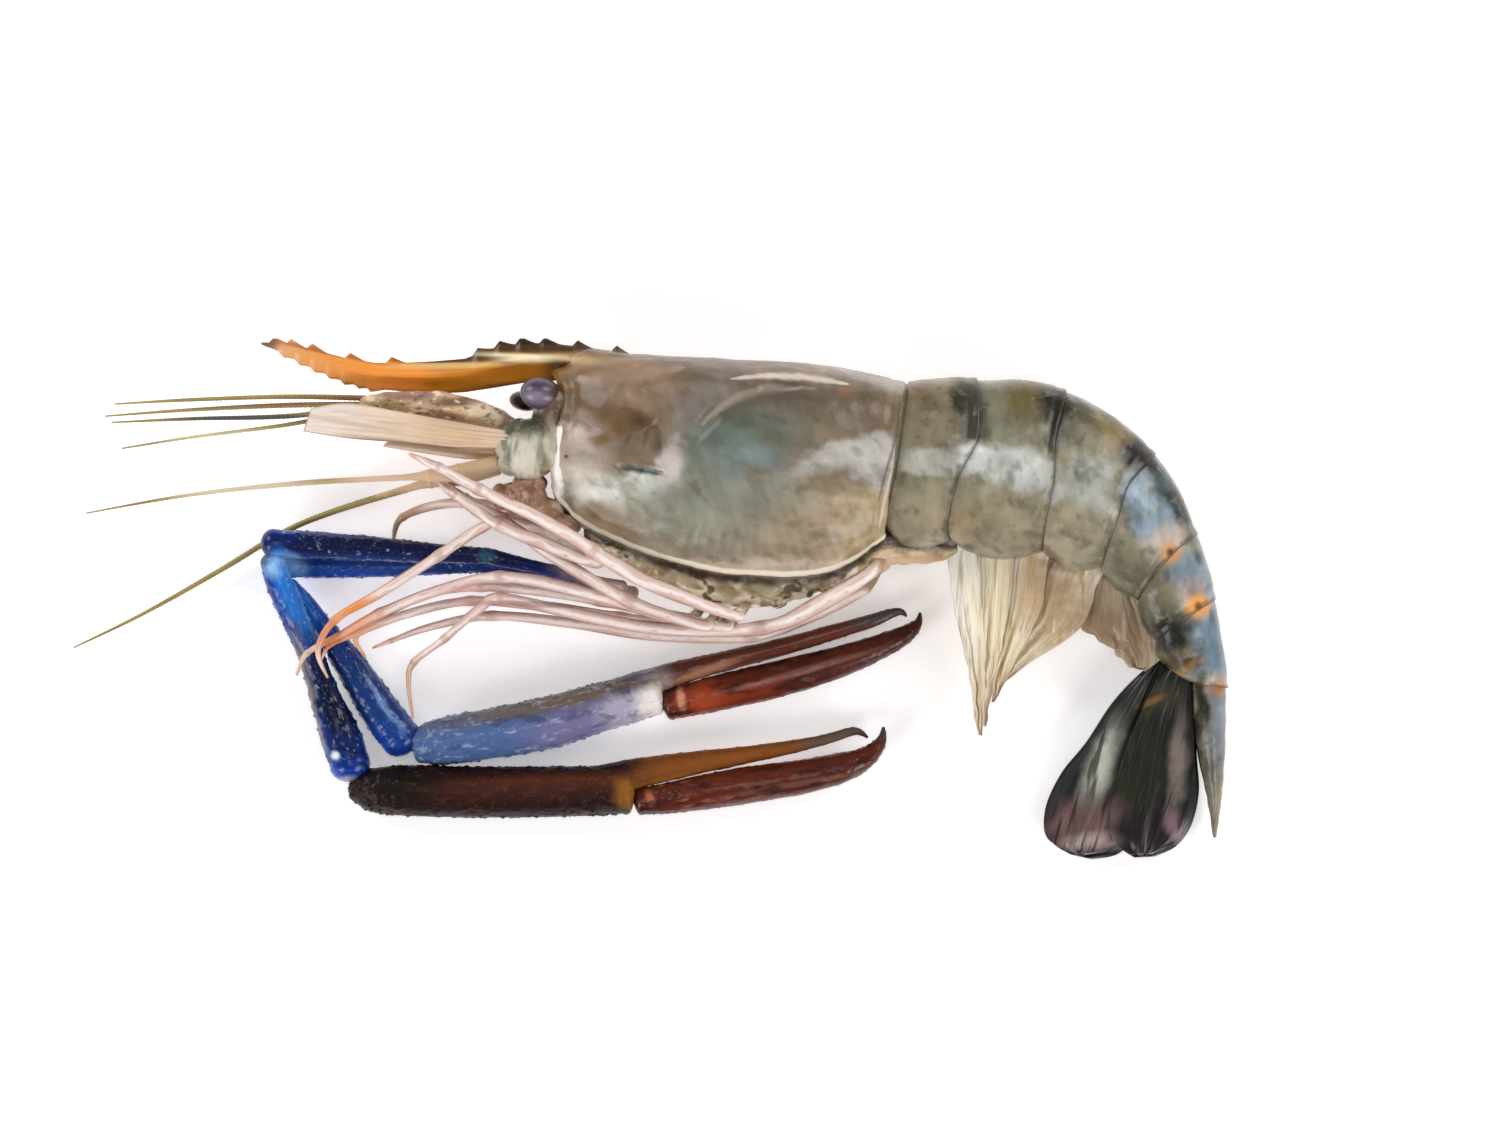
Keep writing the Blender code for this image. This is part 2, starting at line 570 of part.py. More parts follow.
def tube(name, rows, count, finish, collection, resolution=TUBE_RESOLUTION):
    """A round limb along x, y, z with its own radius at each place, rounded off by its caps."""
    curve = bpy.data.curves.new(name, "CURVE")
    curve.dimensions = "3D"
    curve.bevel_depth = MM
    curve.bevel_resolution = resolution
    curve.use_fill_caps = True
    spline = curve.splines.new("POLY")
    points = spread(rows, count)
    spline.points.add(len(points) - 1)
    for point, (x, y, z, radius) in zip(spline.points, points):
        point.co = (x * MM, y * MM, z * MM, 1.0)
        point.radius = radius
        point.tilt = math.pi / 2
    spline.use_smooth = True
    return add_object(name, curve, finish, collection)


def as_mesh(limb, collection):
    """The same limb as a mesh with its caps welded on."""
    bpy.context.view_layer.update()
    seen = limb.evaluated_get(bpy.context.evaluated_depsgraph_get())
    mesh = bpy.data.meshes.new_from_object(seen)
    name, place = limb.name, limb.matrix_world.copy()
    bpy.data.objects.remove(limb)
    shape = bmesh.new()
    shape.from_mesh(mesh)
    bmesh.ops.remove_doubles(shape, verts=shape.verts, dist=MM / 1000)
    shape.to_mesh(mesh)
    shape.free()
    made = bpy.data.objects.new(name, mesh)
    made.matrix_world = place
    collection.objects.link(made)
    return made


def blade(name, edges, size, height, thickness, finish, collection):
    """A thin wavy leaf between two edges. Height gives its middle from the shares along and across."""
    mesh = bpy.data.meshes.new(name)
    shape = bmesh.new()
    rows, columns = size
    grid = []
    for i in range(rows):
        along = i / (rows - 1)
        one, other = row_at(edges[0], along), row_at(edges[1], along)
        line = []
        for j in range(columns + 1):
            across = j / columns
            x = one[0] + (other[0] - one[0]) * across
            y = one[1] + (other[1] - one[1]) * across
            line.append(shape.verts.new(Vector((x, y, height(along, across))) * MM))
        grid.append(line)
    for near, far in zip(grid, grid[1:]):
        for j in range(columns):
            shape.faces.new((near[j], near[j + 1], far[j + 1]))
            shape.faces.new((near[j], far[j + 1], far[j]))
    bmesh.ops.recalc_face_normals(shape, faces=shape.faces)
    shape.to_mesh(mesh)
    shape.free()
    made = add_object(name, mesh, finish, collection)
    wall = made.modifiers.new("thickness", "SOLIDIFY")
    wall.thickness = thickness * MM
    wall.offset = 0.0
    return made


def make_head(model, tools):
    """Head shell with its rostrum and eye sockets, the eyes and the mouth parts."""
    shell = head_body("carapace", 0.0, model)
    apply_boolean(shell, [rostrum(tools)], "UNION")
    sockets = [ball("socket_" + side, place, "eye", tools, GAP) for side, place in EYES.items()]
    apply_boolean(shell, sockets, "DIFFERENCE")
    for side, place in EYES.items():
        ball("eye_" + side, place, "eye", model)
    for side, place in FEELER_BASES.items():
        ball("feeler_base_" + side, place, "head shell", model)
    ball("mouth_parts", MOUTH, "mouth parts", model)


def make_chest(model, tools):
    """The lumpy under body that shows below the head shell, with the hips of the legs."""
    rings = []
    for x, low, half in spread(CHEST_STATIONS, CHEST_RINGS):
        rings.append(hoop(((x, CHEST_TOP), (x, low)), half, head_plane(x)))
    chest = skin("thorax", rings, "under body", model)
    hips = []
    for side in (-1, 1):
        for x, y in HIP_PLACES:
            place = (x, y, HIP_SPREAD * side, (HIP_RADIUS, HIP_RADIUS, HIP_RADIUS))
            hips.append(ball("hip", place, "under body", tools))
    apply_boolean(chest, hips, "UNION")
    covers = [head_body("head_cover", GAP, tools), tail_ring("tail_cover", 0, GAP, tools)]
    apply_boolean(chest, covers, "DIFFERENCE")


def tail_ring(name, number, grow, collection):
    """One ring of the tail between two joint lines, flared at its rear edge over the next ring."""
    joints = [(*sum(edge, ()), half, plane) for edge, half, plane in TAIL_EDGES]
    flare_front, flare_rear = TAIL_FLARES[number]
    rings = []
    for i in range(TAIL_RINGS):
        share = i / (TAIL_RINGS - 1)
        t = TAIL_JOINT + (1 - 2 * TAIL_JOINT) * share
        *line, half, plane = row_at(joints, (number + t) / (len(joints) - 1))
        edge = list(zip(line[0::2], line[1::2]))
        swell = flare_front + (flare_rear - flare_front) * t
        swell += TAIL_BULGE * math.sin(math.pi * share) + grow / half
        rings.append(hoop(edge, half, plane, swell))
    for point in rings[0]:
        point.x -= grow
    return skin(name, rings, "tail shell", collection)


def make_tail(model):
    """The six rings, the spine and the fan of the tail."""
    for number in range(len(TAIL_EDGES) - 1):
        tail_ring(f"abdomen_{number + 1}", number, 0.0, model)
    tube("telson", TELSON, TELSON_POINTS, "tail shell", model)
    for name, (edges, level, shift) in FAN_BLADES.items():
        moved = [[(x + shift[0], y + shift[1]) for x, y in edge] for edge in edges]

        def height(along, across, level=level):
            return level - FAN_DROP * along + FAN_BOW * math.sin(math.pi * across) * along

        blade(name, moved, (FAN_ROWS, FAN_COLUMNS), height, FAN_THICKNESS, "tail fan", model)


def make_swimmerets(model):
    """Five pairs of soft leaves under the tail, lying one over the other."""
    for side, (level, step) in SWIMMERET_LEVELS.items():
        for number, edges in enumerate(SWIMMERETS):

            def height(along, across, base=level + step * number):
                fold = SWIMMERET_WAVE * math.sin(SWIMMERET_FOLDS * math.pi * across) * along
                return base - SWIMMERET_DROP * along + fold

            name, size = f"swimmeret_{number + 1}_{side}", (SWIMMERET_ROWS, SWIMMERET_COLUMNS)
            blade(name, edges, size, height, SWIMMERET_THICKNESS, "swimmeret", model)


def make_arms(model):
    """The two long claws, each of five pieces from the hip to the moving finger."""
    for side, pieces in ARMS.items():
        hand = "brown claw shell" if side == "left" else "blue claw shell"
        looks = {"palm": hand, "finger": "claw finger"}
        for piece, rows in pieces.items():
            finish = looks.get(piece, "blue claw shell")
            tube(f"claw_{side}_{piece}", rows, ARM_POINTS[piece], finish, model)


def make_legs(model):
    """The thin legs and the two mouth legs."""
    for name, rows in LEGS.items():
        count = (len(rows) - 1) * LEG_POINTS_PER_STRETCH + 1
        tube(name, rows, count, "leg shell", model)


def make_feelers(model):
    """The long feelers, the short forked feelers, and the flat scales beside them."""
    for name, rows in FEELERS.items():
        tube(name, rows, FEELER_POINTS, "feeler", model, WHISKER_RESOLUTION)
    for side, whips in ANTENNULE_WHIPS.items():
        away = 1 if side == "left" else -1
        root_rows = [(x, y, PLANE + off * away, radius) for x, y, off, radius in ANTENNULE_ROOT]
        root = tube(f"antennule_{side}", root_rows, ANTENNULE_ROOT_POINTS, "feeler", model)
        root = as_mesh(root, model)
        parts = []
        for rows in whips:
            whip = tube("whip", rows, WHIP_POINTS, "feeler", model, WHISKER_RESOLUTION)
            parts.append(as_mesh(whip, model))
        apply_boolean(root, parts, "UNION")
    for side, (upper, lower, level) in FEELER_SCALES.items():

        def height(along, across, base=level):
            return base + SCALE_BOW * math.sin(math.pi * across) - SCALE_DROP * along

        name = f"feeler_scale_{side}"
        size = SCALE_ROWS, SCALE_COLUMNS
        blade(name, (upper, lower), size, height, SCALE_THICKNESS, "feeler scale", model)


def main():
    clear_scene()
    model = make_collection("big_head_prawn")
    tools = make_collection("cutters")
    make_head(model, tools)
    make_chest(model, tools)
    make_tail(model)
    make_swimmerets(model)
    make_arms(model)
    make_legs(model)
    make_feelers(model)
    bpy.context.view_layer.update()


main()
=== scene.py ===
"""A raw big head prawn lying on its side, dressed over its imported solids.

The prawn is looked at from straight above. Millimetres are used throughout and MM turns them
into metres: X runs from the beak to the tail, Y from the belly to the back, Z up from the table.
"""

import math

import bmesh
import bpy
import numpy as np
from bpy.props import FloatProperty, FloatVectorProperty, PointerProperty
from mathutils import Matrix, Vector, kdtree, noise


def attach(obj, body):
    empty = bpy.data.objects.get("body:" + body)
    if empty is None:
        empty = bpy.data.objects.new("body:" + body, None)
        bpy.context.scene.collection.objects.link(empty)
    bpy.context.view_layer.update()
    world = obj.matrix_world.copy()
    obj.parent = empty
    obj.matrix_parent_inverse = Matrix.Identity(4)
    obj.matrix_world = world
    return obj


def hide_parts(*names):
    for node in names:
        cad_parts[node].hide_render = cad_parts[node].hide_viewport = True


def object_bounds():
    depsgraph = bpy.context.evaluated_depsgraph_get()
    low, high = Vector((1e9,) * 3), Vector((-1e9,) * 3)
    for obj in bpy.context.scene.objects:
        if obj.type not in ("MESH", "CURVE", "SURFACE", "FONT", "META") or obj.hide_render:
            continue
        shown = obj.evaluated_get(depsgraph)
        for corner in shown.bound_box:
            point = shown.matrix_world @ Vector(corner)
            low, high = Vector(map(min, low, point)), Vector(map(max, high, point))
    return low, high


bl_info = {
    "name": "Big Head Prawn",
    "version": (1, 0, 0),
    "blender": (4, 5, 0),
    "location": "3D View > Sidebar > Prawn",
    "description": "Builds the shells, claws, legs, feelers and tail of a raw big head prawn",
    "category": "Object",
}

MM = 0.001
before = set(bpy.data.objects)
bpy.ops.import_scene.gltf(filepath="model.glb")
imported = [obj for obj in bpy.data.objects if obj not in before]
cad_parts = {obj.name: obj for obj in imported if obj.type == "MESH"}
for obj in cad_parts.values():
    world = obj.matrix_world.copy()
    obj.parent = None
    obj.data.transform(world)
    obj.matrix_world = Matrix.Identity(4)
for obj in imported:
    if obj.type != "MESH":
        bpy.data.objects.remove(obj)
CAD_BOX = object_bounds()
LOW, HIGH = (np.array(corner) / MM for corner in CAD_BOX)

# How high the prawn's plane of symmetry lies over the table, and how high at the head shell's rear.
# It starts to drop at x = HEAD_PLANE_BENDS_AT, and goes on so behind the shell's rear.
PLANE = 18.5
HEAD_REAR_PLANE = 16.9
HEAD_PLANE_BENDS_AT = 10.0
# Below 1 the hoops round the body are fuller than an ellipse.
HOOP_SQUARENESS = 0.82
HEAD_BELLY_SQUARENESS = 0.62
# How finely the head shell and the beak are drawn.
HEAD_RINGS = 210
HEAD_SIDES = 220
BEAK_RINGS = 300
# No point of a limb or leaf lies closer to the table than this.
OFF_TABLE = 0.02
# Where the rings of a limb's rounded end stand on its dome, as angles.
DOME = np.radians((20, 40, 58, 72, 84))
# A leaf's thickness at its tip, as a share of that at its root.
LEAF_TIP = 0.35
# Above 1 the flanks of small spines and of the beak's teeth are hollow.
HOLLOW_FLANK = 1.3
# Lumps of flesh are melted together on a grid of this size.
FINE_VOXEL = 0.28
COARSE_VOXEL = 0.38

# Head shell, from front to rear: back x and y, belly x and y, half width.
HEAD_HOOPS = (
    (-38, 19.4, -37.6, -5, 8.6),
    (-32.5, 22.4, -33.5, -10.2, 11.6),
    (-25, 23, -26, -14.6, 14.4),
    (-15, 22.8, -16, -18.6, 16.8),
    (-4, 22.2, -5, -21.2, 18.8),
    (8, 21.6, 6, -22.2, 19.2),
    (18, 20.8, 15, -21.8, 19),
    (26, 19.2, 22, -19.4, 17.6),
    (33, 17.6, 28.4, -14.8, 16.2),
)
# The shell's front edge: y, and how far it stands back there, round the eye and the white rim.
HEAD_FRONT = (
    (-10, 0), (-5, 0.6), (0, 0), (5, 0.3), (8.6, 1.2), (11.5, 2.1), (15, 2.3), (17.8, 1.4), (19.6, 0.2),
    (22, -0.6),
)
# Folds pressed into the head shell: points of the line, depth, width. A depth below zero is a ridge.
# The depths hold for the fold depth that the user's choice starts from.
FOLD_DEPTH = 0.6
HEAD_FOLDS = (
    (((-9, 6), (-4, 11), (2, 15), (12, 17)), 0.55, 1.3),
    (((-9, 8.4), (-3, 13), (4, 16.4)), -0.35, 1.2),
    (((-25, 0.3), (-19, -0.6), (-14.6, -1.4)), 0.6, 0.8),
    (((-38, 10.6), (-30, 8.6), (-22, 7.6), (-17, 9.8)), 0.35, 1.2),
    (((-17.6, 8), (-16.4, 3.4)), 0.35, 0.8),
    (((11, -0.2), (20, -1.6), (27, -5)), 0.28, 1.1),
)

# How the head shell's two ends turn inwards: for each further ring its step in and its size as a
# share of the ring before. Points there count as lying TURNED_IN from the edge.
SHELL_TUCKS = ((0.5, 0.97), (0.9, 0.9), (1, 0.8), (0.8, 0.55), (0.6, 0.3))
TURNED_IN = -2
# The gills' rows fan out from a point above the back: GILL_RADIUS from it they lie GILL_SPACING apart.
GILL_CENTRE = (4, 26)
GILL_RADIUS = 42
GILL_SPACING = 2.3

# Fine lines on the head shell, some of them painted highlight or painted shade: colour, half width,
# strength, points of the line.
HEAD_LINES = (
    (
        "#d9c0ae", 0.4, 0.75,
        ((33.2, 17.4), (32.9, 12), (32.2, 7.6), (30.4, 0), (28.4, -7.6), (27.6, -12)),
    ),
    # Painted shadow along the inner side of the rear margin.
    ("#54483c", 0.32, 0.6, ((32, 15), (31.6, 11), (31, 6.4), (29.2, 0), (27.4, -7.6))),
    # Painted highlight along the top of the back.
    ("#ecdccc", 0.65, 0.65, ((-2, 18), (6, 18.6), (14, 18.3), (22, 17))),
    # Painted highlight: pink tan streaks along the front of the back.
    ("#c0a08a", 1.5, 0.3, ((-33, 17.9), (-22, 18.9), (-11, 20.2))),
    # Painted highlight along the ridge above the long fold.
    (
        "#b5a698", 0.8, 0.42,
        ((-8, 8.4), (-4.4, 11.8), (-1, 13.9), (3.4, 15.6), (7.6, 16.4), (16, 16)),
    ),
    # Painted shade along the lower side of the long fold.
    ("#50463a", 1.5, 0.5, ((-5.8, 7.4), (-2, 11.2), (2.4, 13.6), (8, 14.6), (14, 14.4))),
    ("#1e3438", 0.75, 0.95, ((-24, 0.6), (-20, 0), (-14.8, -0.9))),
    ("#4a3a2c", 0.9, 0.4, ((-36.6, 11.2), (-33, 9.6), (-29, 7.6))),
    ("#3f2f1c", 0.6, 0.6, ((-27, 22.9), (-18, 22.9), (-8, 22.4), (0, 21.8))),
    ("#c8a070", 0.6, 0.35, ((-33.4, -7.4), (-28, -11.4), (-22, -15))),
    ("#6a5138", 1.3, 0.5, ((-33, 13), (-27, 12.4), (-21.6, 9.6), (-20, 5.6))),
    ("#5a4028", 0.9, 0.5, ((-24, 12.4), (-19.6, 10.4), (-17.6, 6), (-17, 3.4))),
    ("#4a3424", 0.7, 0.45, ((-18.6, 10.8), (-16.4, 7.6), (-15.8, 3.6))),
)

# Beak, from its tip to where it runs into the back: x, upper edge, lower edge, half thickness.
BEAK_STATIONS = (
    (-95.6, 25.5, 25, 0.30),
    (-91, 25.3, 23.2, 0.75),
    (-85, 24, 20.3, 1.00),
    (-79, 22.4, 17.8, 1.30),
    (-73, 21.4, 16.2, 1.60),
    (-67, 21.4, 15.6, 1.90),
    (-61, 21.7, 15.2, 2.30),
    (-55, 22.2, 15.5, 2.80),
    (-49, 24.4, 16.4, 3.30),
    (-43, 25.4, 17.4, 3.60),
    (-37, 25.2, 17.8, 3.60),
    (-31, 24.5, 18, 3.00),
    (-25, 23.7, 18.2, 2.20),
    (-19, 22.4, 18.4, 1.40),
)
# Where the tips of the beak's teeth stand along x, and how high the teeth are.
UPPER_TEETH = (-93, -89.6, -85.4, -77.8, -69.6, -52.4, -48, -43.8, -39, -32.4, -24.6)
LOWER_TEETH = (-91.2, -88, -85, -82, -79, -76.2, -73.8)
UPPER_TOOTH_HEIGHT = 1.25
LOWER_TOOTH_HEIGHT = 0.85
# How far a tooth reaches in front of its tip and behind it.
TOOTH_FRONT = 1.1
TOOTH_BACK = 3.2
# The beak's section: how far down its side, and how wide there as a share of its half thickness.
BEAK_SECTION = (
    (0, 0.05), (0.12, 0.12), (0.3, 0.3), (0.42, 0.55), (0.5, 1), (0.58, 0.8), (0.7, 0.42), (0.88, 0.2),
    (1, 0.05),
)

# Middle x and y, distance from the plane of symmetry, and half sizes.
EYES = {"left": (-40, 15.2, 7.8, (4, 3.2, 3.5)), "right": (-43.3, 13.9, -7.8, (3, 2, 3.2))}
FEELER_BASES = {
    "left": (-42.7, 4.4, 6.6, (5.6, 6.272, 5.5)),
    "right": (-42.9, 4.2, -6.6, (5.4, 5.978, 5.5)),
}
MOUTH = (-44.2, -4.9)
MOUTH_SIZES = (5.336, 2.55, 6.65)
# Length of an eye with its stalk, as a share of the eye's half length.
EYE_LENGTH = 2.1
# An eye from its front to its stalk's end: share of the length, share of the girth.
EYE_PROFILE = (
    (0, 0), (0.02, 0.22), (0.06, 0.42), (0.14, 0.66), (0.25, 0.85), (0.38, 0.96), (0.5, 1), (0.62, 0.99),
    (0.73, 0.92), (0.81, 0.82), (0.86, 0.75), (0.91, 0.74), (0.96, 0.7), (1, 0.5),
)
# Lumps of a feeler base after its main one: place from its middle, where the last number points
# away from the plane of symmetry, half sizes, height and size of the bumps on it.
BASE_LUMPS = (
    ((-0.2, 3.4, 1.2), (4.2, 2.4, 4), 0.2, 2),
    ((-3.6, 0.6, 0.8), (2.6, 3.4, 3.2), 0.2, 2),
    ((-3, -3.2, 0.4), (2.8, 2.2, 3.2), 0.2, 2),
    ((2.6, -3.6, 1), (2.4, 1.9, 3.4), 0.2, 2),
    ((4.4, 6.2, 0), (3, 3.4, 3.2), 0.3, 1.6),
    ((5.4, 1, 0), (2.2, 5.4, 3.4), 0.3, 1.6),
    ((5.6, 9, 0.6), (2.4, 2.8, 2.6), 0.2, 1.6),
)
# Jaw lumps on both sides of the mouth, as above.
MOUTH_LUMPS = (
    ((2.2, 2.2, 5.4), (3.4, 2.2, 3.4), 0.25, 1.8),
    ((5.6, -3.2, 4.6), (3.6, 2.6, 3.6), 0.25, 1.8),
    ((9, -6.2, 4.6), (3.4, 2.2, 3.6), 0.25, 1.8),
)

# Under the head shell: x, lowest y, half width.
CHEST_STATIONS = (
    (-31, -15, 6),
    (-24, -20.6, 9),
    (-16, -24.6, 11),
    (-6, -27.2, 12.4),
    (4, -27.6, 12.6),
    (13, -25.4, 11.8),
    (21, -22.2, 10.4),
    (30, -19.4, 8.8),
    (38, -18.8, 6),
    (43.6, -17.4, 2.6),
)
CHEST_TOP = -9
CHEST_LUMP_PAIRS = 11
CHEST_LUMP_STEP = 5.1
FIRST_CHEST_LUMP = -25
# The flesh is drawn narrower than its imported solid, so that the shell's lower edge hangs over it.
CHEST_SHRINK = 0.74
# Pale leg roots that lie along the flesh.
LEG_ROOT_BANDS = (
    ((-16, -24), (-9, -26.8), (-1, -28), (4, -27.2)),
    ((16, -27), (20.4, -23.8), (23.4, -19.4)),
)

TAIL_RING_SIDES = 144
# How a tail ring's rim turns in: for each further ring its step on and its size as a share.
TAIL_TUCKS = ((0.1, 0.992), (0, 0.985), (-0.4, 0.98), (-1.2, 0.95), (-1.2, 0.6))
# Joint lines of the tail's rings, each from back to belly, with the half width and plane there.
TAIL_EDGES = (
    (((33.8, 17.6), (32.6, 9), (31.2, 0), (29.6, -8), (28.9, -14)), 15.4, 16.4),
    (((47.2, 17.9), (47.4, 6.6), (43.4, -1.6), (41.4, -10), (41.6, -15.8)), 14.9, 15.2),
    (((65.2, 15.6), (62.8, 5.6), (62.6, -2), (60.8, -10), (60, -17.8)), 14.2, 14),
    (((83, 3), (77.6, -3), (75.4, -9), (73.4, -15), (71.8, -20.8)), 12.6, 12.2),
    (((91.4, -13), (87.6, -15.8), (84.2, -19), (81.4, -22.8), (79, -26.4)), 10.6, 10.4),
    (((95.2, -26), (92, -27.8), (88.6, -30), (85.4, -32.4), (82.6, -34.4)), 8.8, 8.6),
    (((97.8, -43.6), (94.8, -43.4), (91.6, -42.7), (88.4, -41.4), (85.2, -39.4)), 6.6, 7),
)

# Tail spine from its root to its point: x, y, z, radius.
TAIL_SPINE = (
    (94.1, -42.6, 6.8, 3.3),
    (94.2, -50, 6.4, 3.3),
    (94.6, -57, 5.6, 2.7),
    (95.2, -65, 4.6, 1.6),
    (95.4, -73.6, 3.4, 0.35),
)

# Tail fan blades: outer edge, inner edge; then each blade's height over the table and its shift.
# FAN_DROP is how far a blade sinks to its end, FAN_BOW how far its middle bulges up there.
OUTER_BLADE = (
    (
        (81.6, -39.6), (75, -46.2), (69.4, -54.6), (64.6, -60.6), (61.4, -67.4), (61.4, -73.4),
        (65.2, -76.2),
    ),
    (
        (85.4, -40.6), (85.6, -48.4), (84, -57), (82.6, -64), (79.6, -71.2), (75, -76), (69.6, -77.2),
    ),
)
INNER_BLADE = (
    (
        (84.6, -40.4), (80.8, -47.8), (77.4, -56), (75.4, -63), (74.2, -69.4), (75, -74.4), (78.6, -77.2),
    ),
    (
        (90.6, -43.2), (91, -49.4), (91.2, -57), (91.6, -64), (90.2, -70.4), (87.2, -74.8), (82.8, -77),
    ),
)
FAN_BLADES = {
    "uropod_outer_left": (OUTER_BLADE, 6.9, (0, 0)),
    "uropod_inner_left": (INNER_BLADE, 8.3, (0, 0)),
    "uropod_outer_right": (OUTER_BLADE, 3.4, (1.2, -1)),
    "uropod_inner_right": (INNER_BLADE, 4.9, (0.6, -0.6)),
}
FAN_DROP = 2.4
FAN_BOW = 0.5

# Swimmerets under the tail, first pair at the front: front edge, rear edge.
SWIMMERETS = (
    (
        ((41.4, -17.2), (42.6, -26), (44.4, -34), (46.2, -43), (47.6, -53)),
        ((47.4, -17.4), (48.2, -26), (48.8, -34), (49, -43), (48.5, -53.2)),
    ),
    (
        ((47.4, -18), (47.6, -26), (47.6, -34), (47.8, -43), (48.6, -51.4)),
        ((54.6, -18.4), (53.8, -26), (52.6, -34), (51, -42), (49.4, -51.2)),
    ),
    (
        ((54, -18.6), (53.4, -26), (52.2, -33), (51, -39.6), (50.4, -46.4)),
        ((61.4, -19.4), (60.4, -27), (57.8, -33), (54.6, -39), (51.2, -46.2)),
    ),
    (
        ((60.6, -19.8), (58.6, -27.6), (56, -32.6), (54, -37.4), (52.4, -42.4)),
        ((71.4, -23.2), (69.4, -30), (65, -34.2), (58.6, -38.2), (53, -42.6)),
    ),
    (
        ((70, -23.6), (68.6, -29), (69.4, -32.4), (73.6, -34.8), (78.6, -39.2)),
        ((80.6, -26), (83, -30), (84.6, -34), (84.2, -37.6), (81.4, -40.2)),
    ),
)
# Height of the first leaf's root over the table, and the step from each leaf to the next.
SWIMMERET_LEVELS = {"left": (17.6, -1.5), "right": (9.4, -1.3)}
# How brown each leaf is: the rear ones lie double and let less light through.
SWIMMERET_BROWN = (0, 0, 0.15, 0.45, 0.85)

# Long claws: x, y, z, radius of each piece from its root to its end.
ARMS = {
    "left": {
        "ischium": (
            (-23.6, -23.4, 20.2, 1.3), (-31, -21.9, 17.6, 1.25), (-40, -19.6, 15.4, 1.3),
            (-49.6, -17.3, 14, 1.45),
        ),
        "merus": (
            (-50.4, -17.1, 13.9, 1.5), (-60, -16.7, 13, 1.9), (-72, -15.8, 11.4, 2.4), (-84, -15, 9.8, 2.6),
            (-93.8, -14.6, 8.8, 2.6),
        ),
        "carpus": (
            (-93.8, -18.4, 8.6, 2.3), (-92.6, -22, 8.3, 2.7), (-89.6, -29, 7.8, 2.7), (-86.2, -37, 7, 2.6),
            (-83.4, -45, 6, 3), (-80, -54, 5.2, 4.1), (-78.2, -59.2, 5, 3.9),
        ),
        "palm": (
            (-77.8, -64.4, 5, 2), (-75, -64.2, 5.1, 4), (-68, -64.3, 5.2, 5), (-52, -64.6, 5.2, 5.1),
            (-36, -64.5, 5.2, 5), (-27, -64.3, 5.2, 4.9), (-22.8, -64.2, 5.1, 4.6),
        ),
        "finger": (
            (-20.2, -66.5, 5, 2.6), (-15.8, -66, 5, 3), (-9.6, -65, 5, 3.4), (0, -63.4, 5, 3.7),
            (12, -61.6, 4.9, 3.5), (20, -59.8, 4.8, 3.1), (25, -57.8, 4.7, 2.2), (28.2, -54.6, 4.6, 1.2),
            (28.8, -51.6, 4.6, 0.3),
        ),
    },
    "right": {
        "ischium": (
            (-21.4, -24.6, 7.4, 1.3), (-30, -23, 6.6, 1.25), (-41, -20.7, 5.8, 1.3), (-52, -19.1, 5.3, 1.4),
        ),
        "merus": (
            (-52.8, -19, 5.2, 1.5), (-62, -19.2, 4.8, 1.8), (-74, -19.5, 4.3, 2), (-84, -19.5, 4, 2.1),
            (-92, -19.3, 3.9, 2.1),
        ),
        "carpus": (
            (-90.4, -23.3, 3.8, 1.7), (-87.6, -26.4, 3.8, 1.9), (-83.6, -31.6, 3.9, 2.1),
            (-79.6, -37.2, 4, 2.9), (-74, -45.6, 4.2, 3.7), (-70.4, -50.9, 4.5, 4.1),
            (-68, -53.9, 4.7, 3.9),
        ),
        "palm": (
            (-64.8, -55.4, 5, 3.2), (-61, -54.6, 5.1, 4.6), (-52, -53.2, 5.2, 5), (-40, -51, 5.3, 5.2),
            (-28, -47.6, 5.1, 4.9), (-21.6, -46, 5, 4.5), (-17, -44.9, 4.9, 4),
        ),
        "finger": (
            (-14.4, -47.1, 4.8, 2.9), (-10.2, -46.1, 4.8, 3.3), (-4, -44.6, 4.8, 3.6), (8, -41.8, 4.8, 3.7),
            (20, -38.4, 4.7, 3.2), (28, -35.4, 4.6, 2.5), (33, -33, 4.5, 1.9), (35.6, -30.8, 4.5, 1),
            (36.2, -28.6, 4.5, 0.3),
        ),
    },
}

# The fixed finger that each hand carries, grown in one piece with it.
FIXED_FINGERS = {
    "left": (
        (-31, -63, 5.2, 3.2), (-23, -61.4, 5.1, 3.2), (-16.4, -60, 5, 2.8), (-10, -58.9, 5, 2.4),
        (-1, -57.5, 4.9, 1.9), (9, -55.8, 4.8, 1.4), (17, -54.1, 4.7, 1.1), (23, -52.4, 4.6, 0.8),
        (25.6, -53.6, 4.6, 0.3),
    ),
    "right": (
        (-26, -45.4, 5.1, 3.2), (-19.6, -43, 4.9, 2.9), (-13.4, -41, 4.8, 2.5), (-8, -39.5, 4.8, 2.2),
        (-2, -38, 4.8, 2), (8, -35.5, 4.8, 1.8), (18, -32.7, 4.7, 1.6), (26, -30.3, 4.6, 1.4),
        (31.6, -28.4, 4.5, 0.9), (33.4, -29.2, 4.5, 0.3),
    ),
}

# Small spines of the claws: how far apart they stand and how wide their feet are.
SPINE_SPACING = 1.25
SPINE_REACH = 0.6
CLAW_RING_STEP = 0.4
# How rough with spines each claw piece is, and how far its ends bulge as a share of its radius.
CLAW_ROUGHNESS = {
    "ischium": 0.4, "merus": 0.7, "carpus": 0.9, "palm": 1, "finger": 0.45, "fixed finger": 0.4,
}
CLAW_CAPS = {
    "ischium": 0.8, "merus": 0.8, "carpus": 0.8, "palm": 0.35, "finger": 0.4, "fixed finger": 0.6,
}

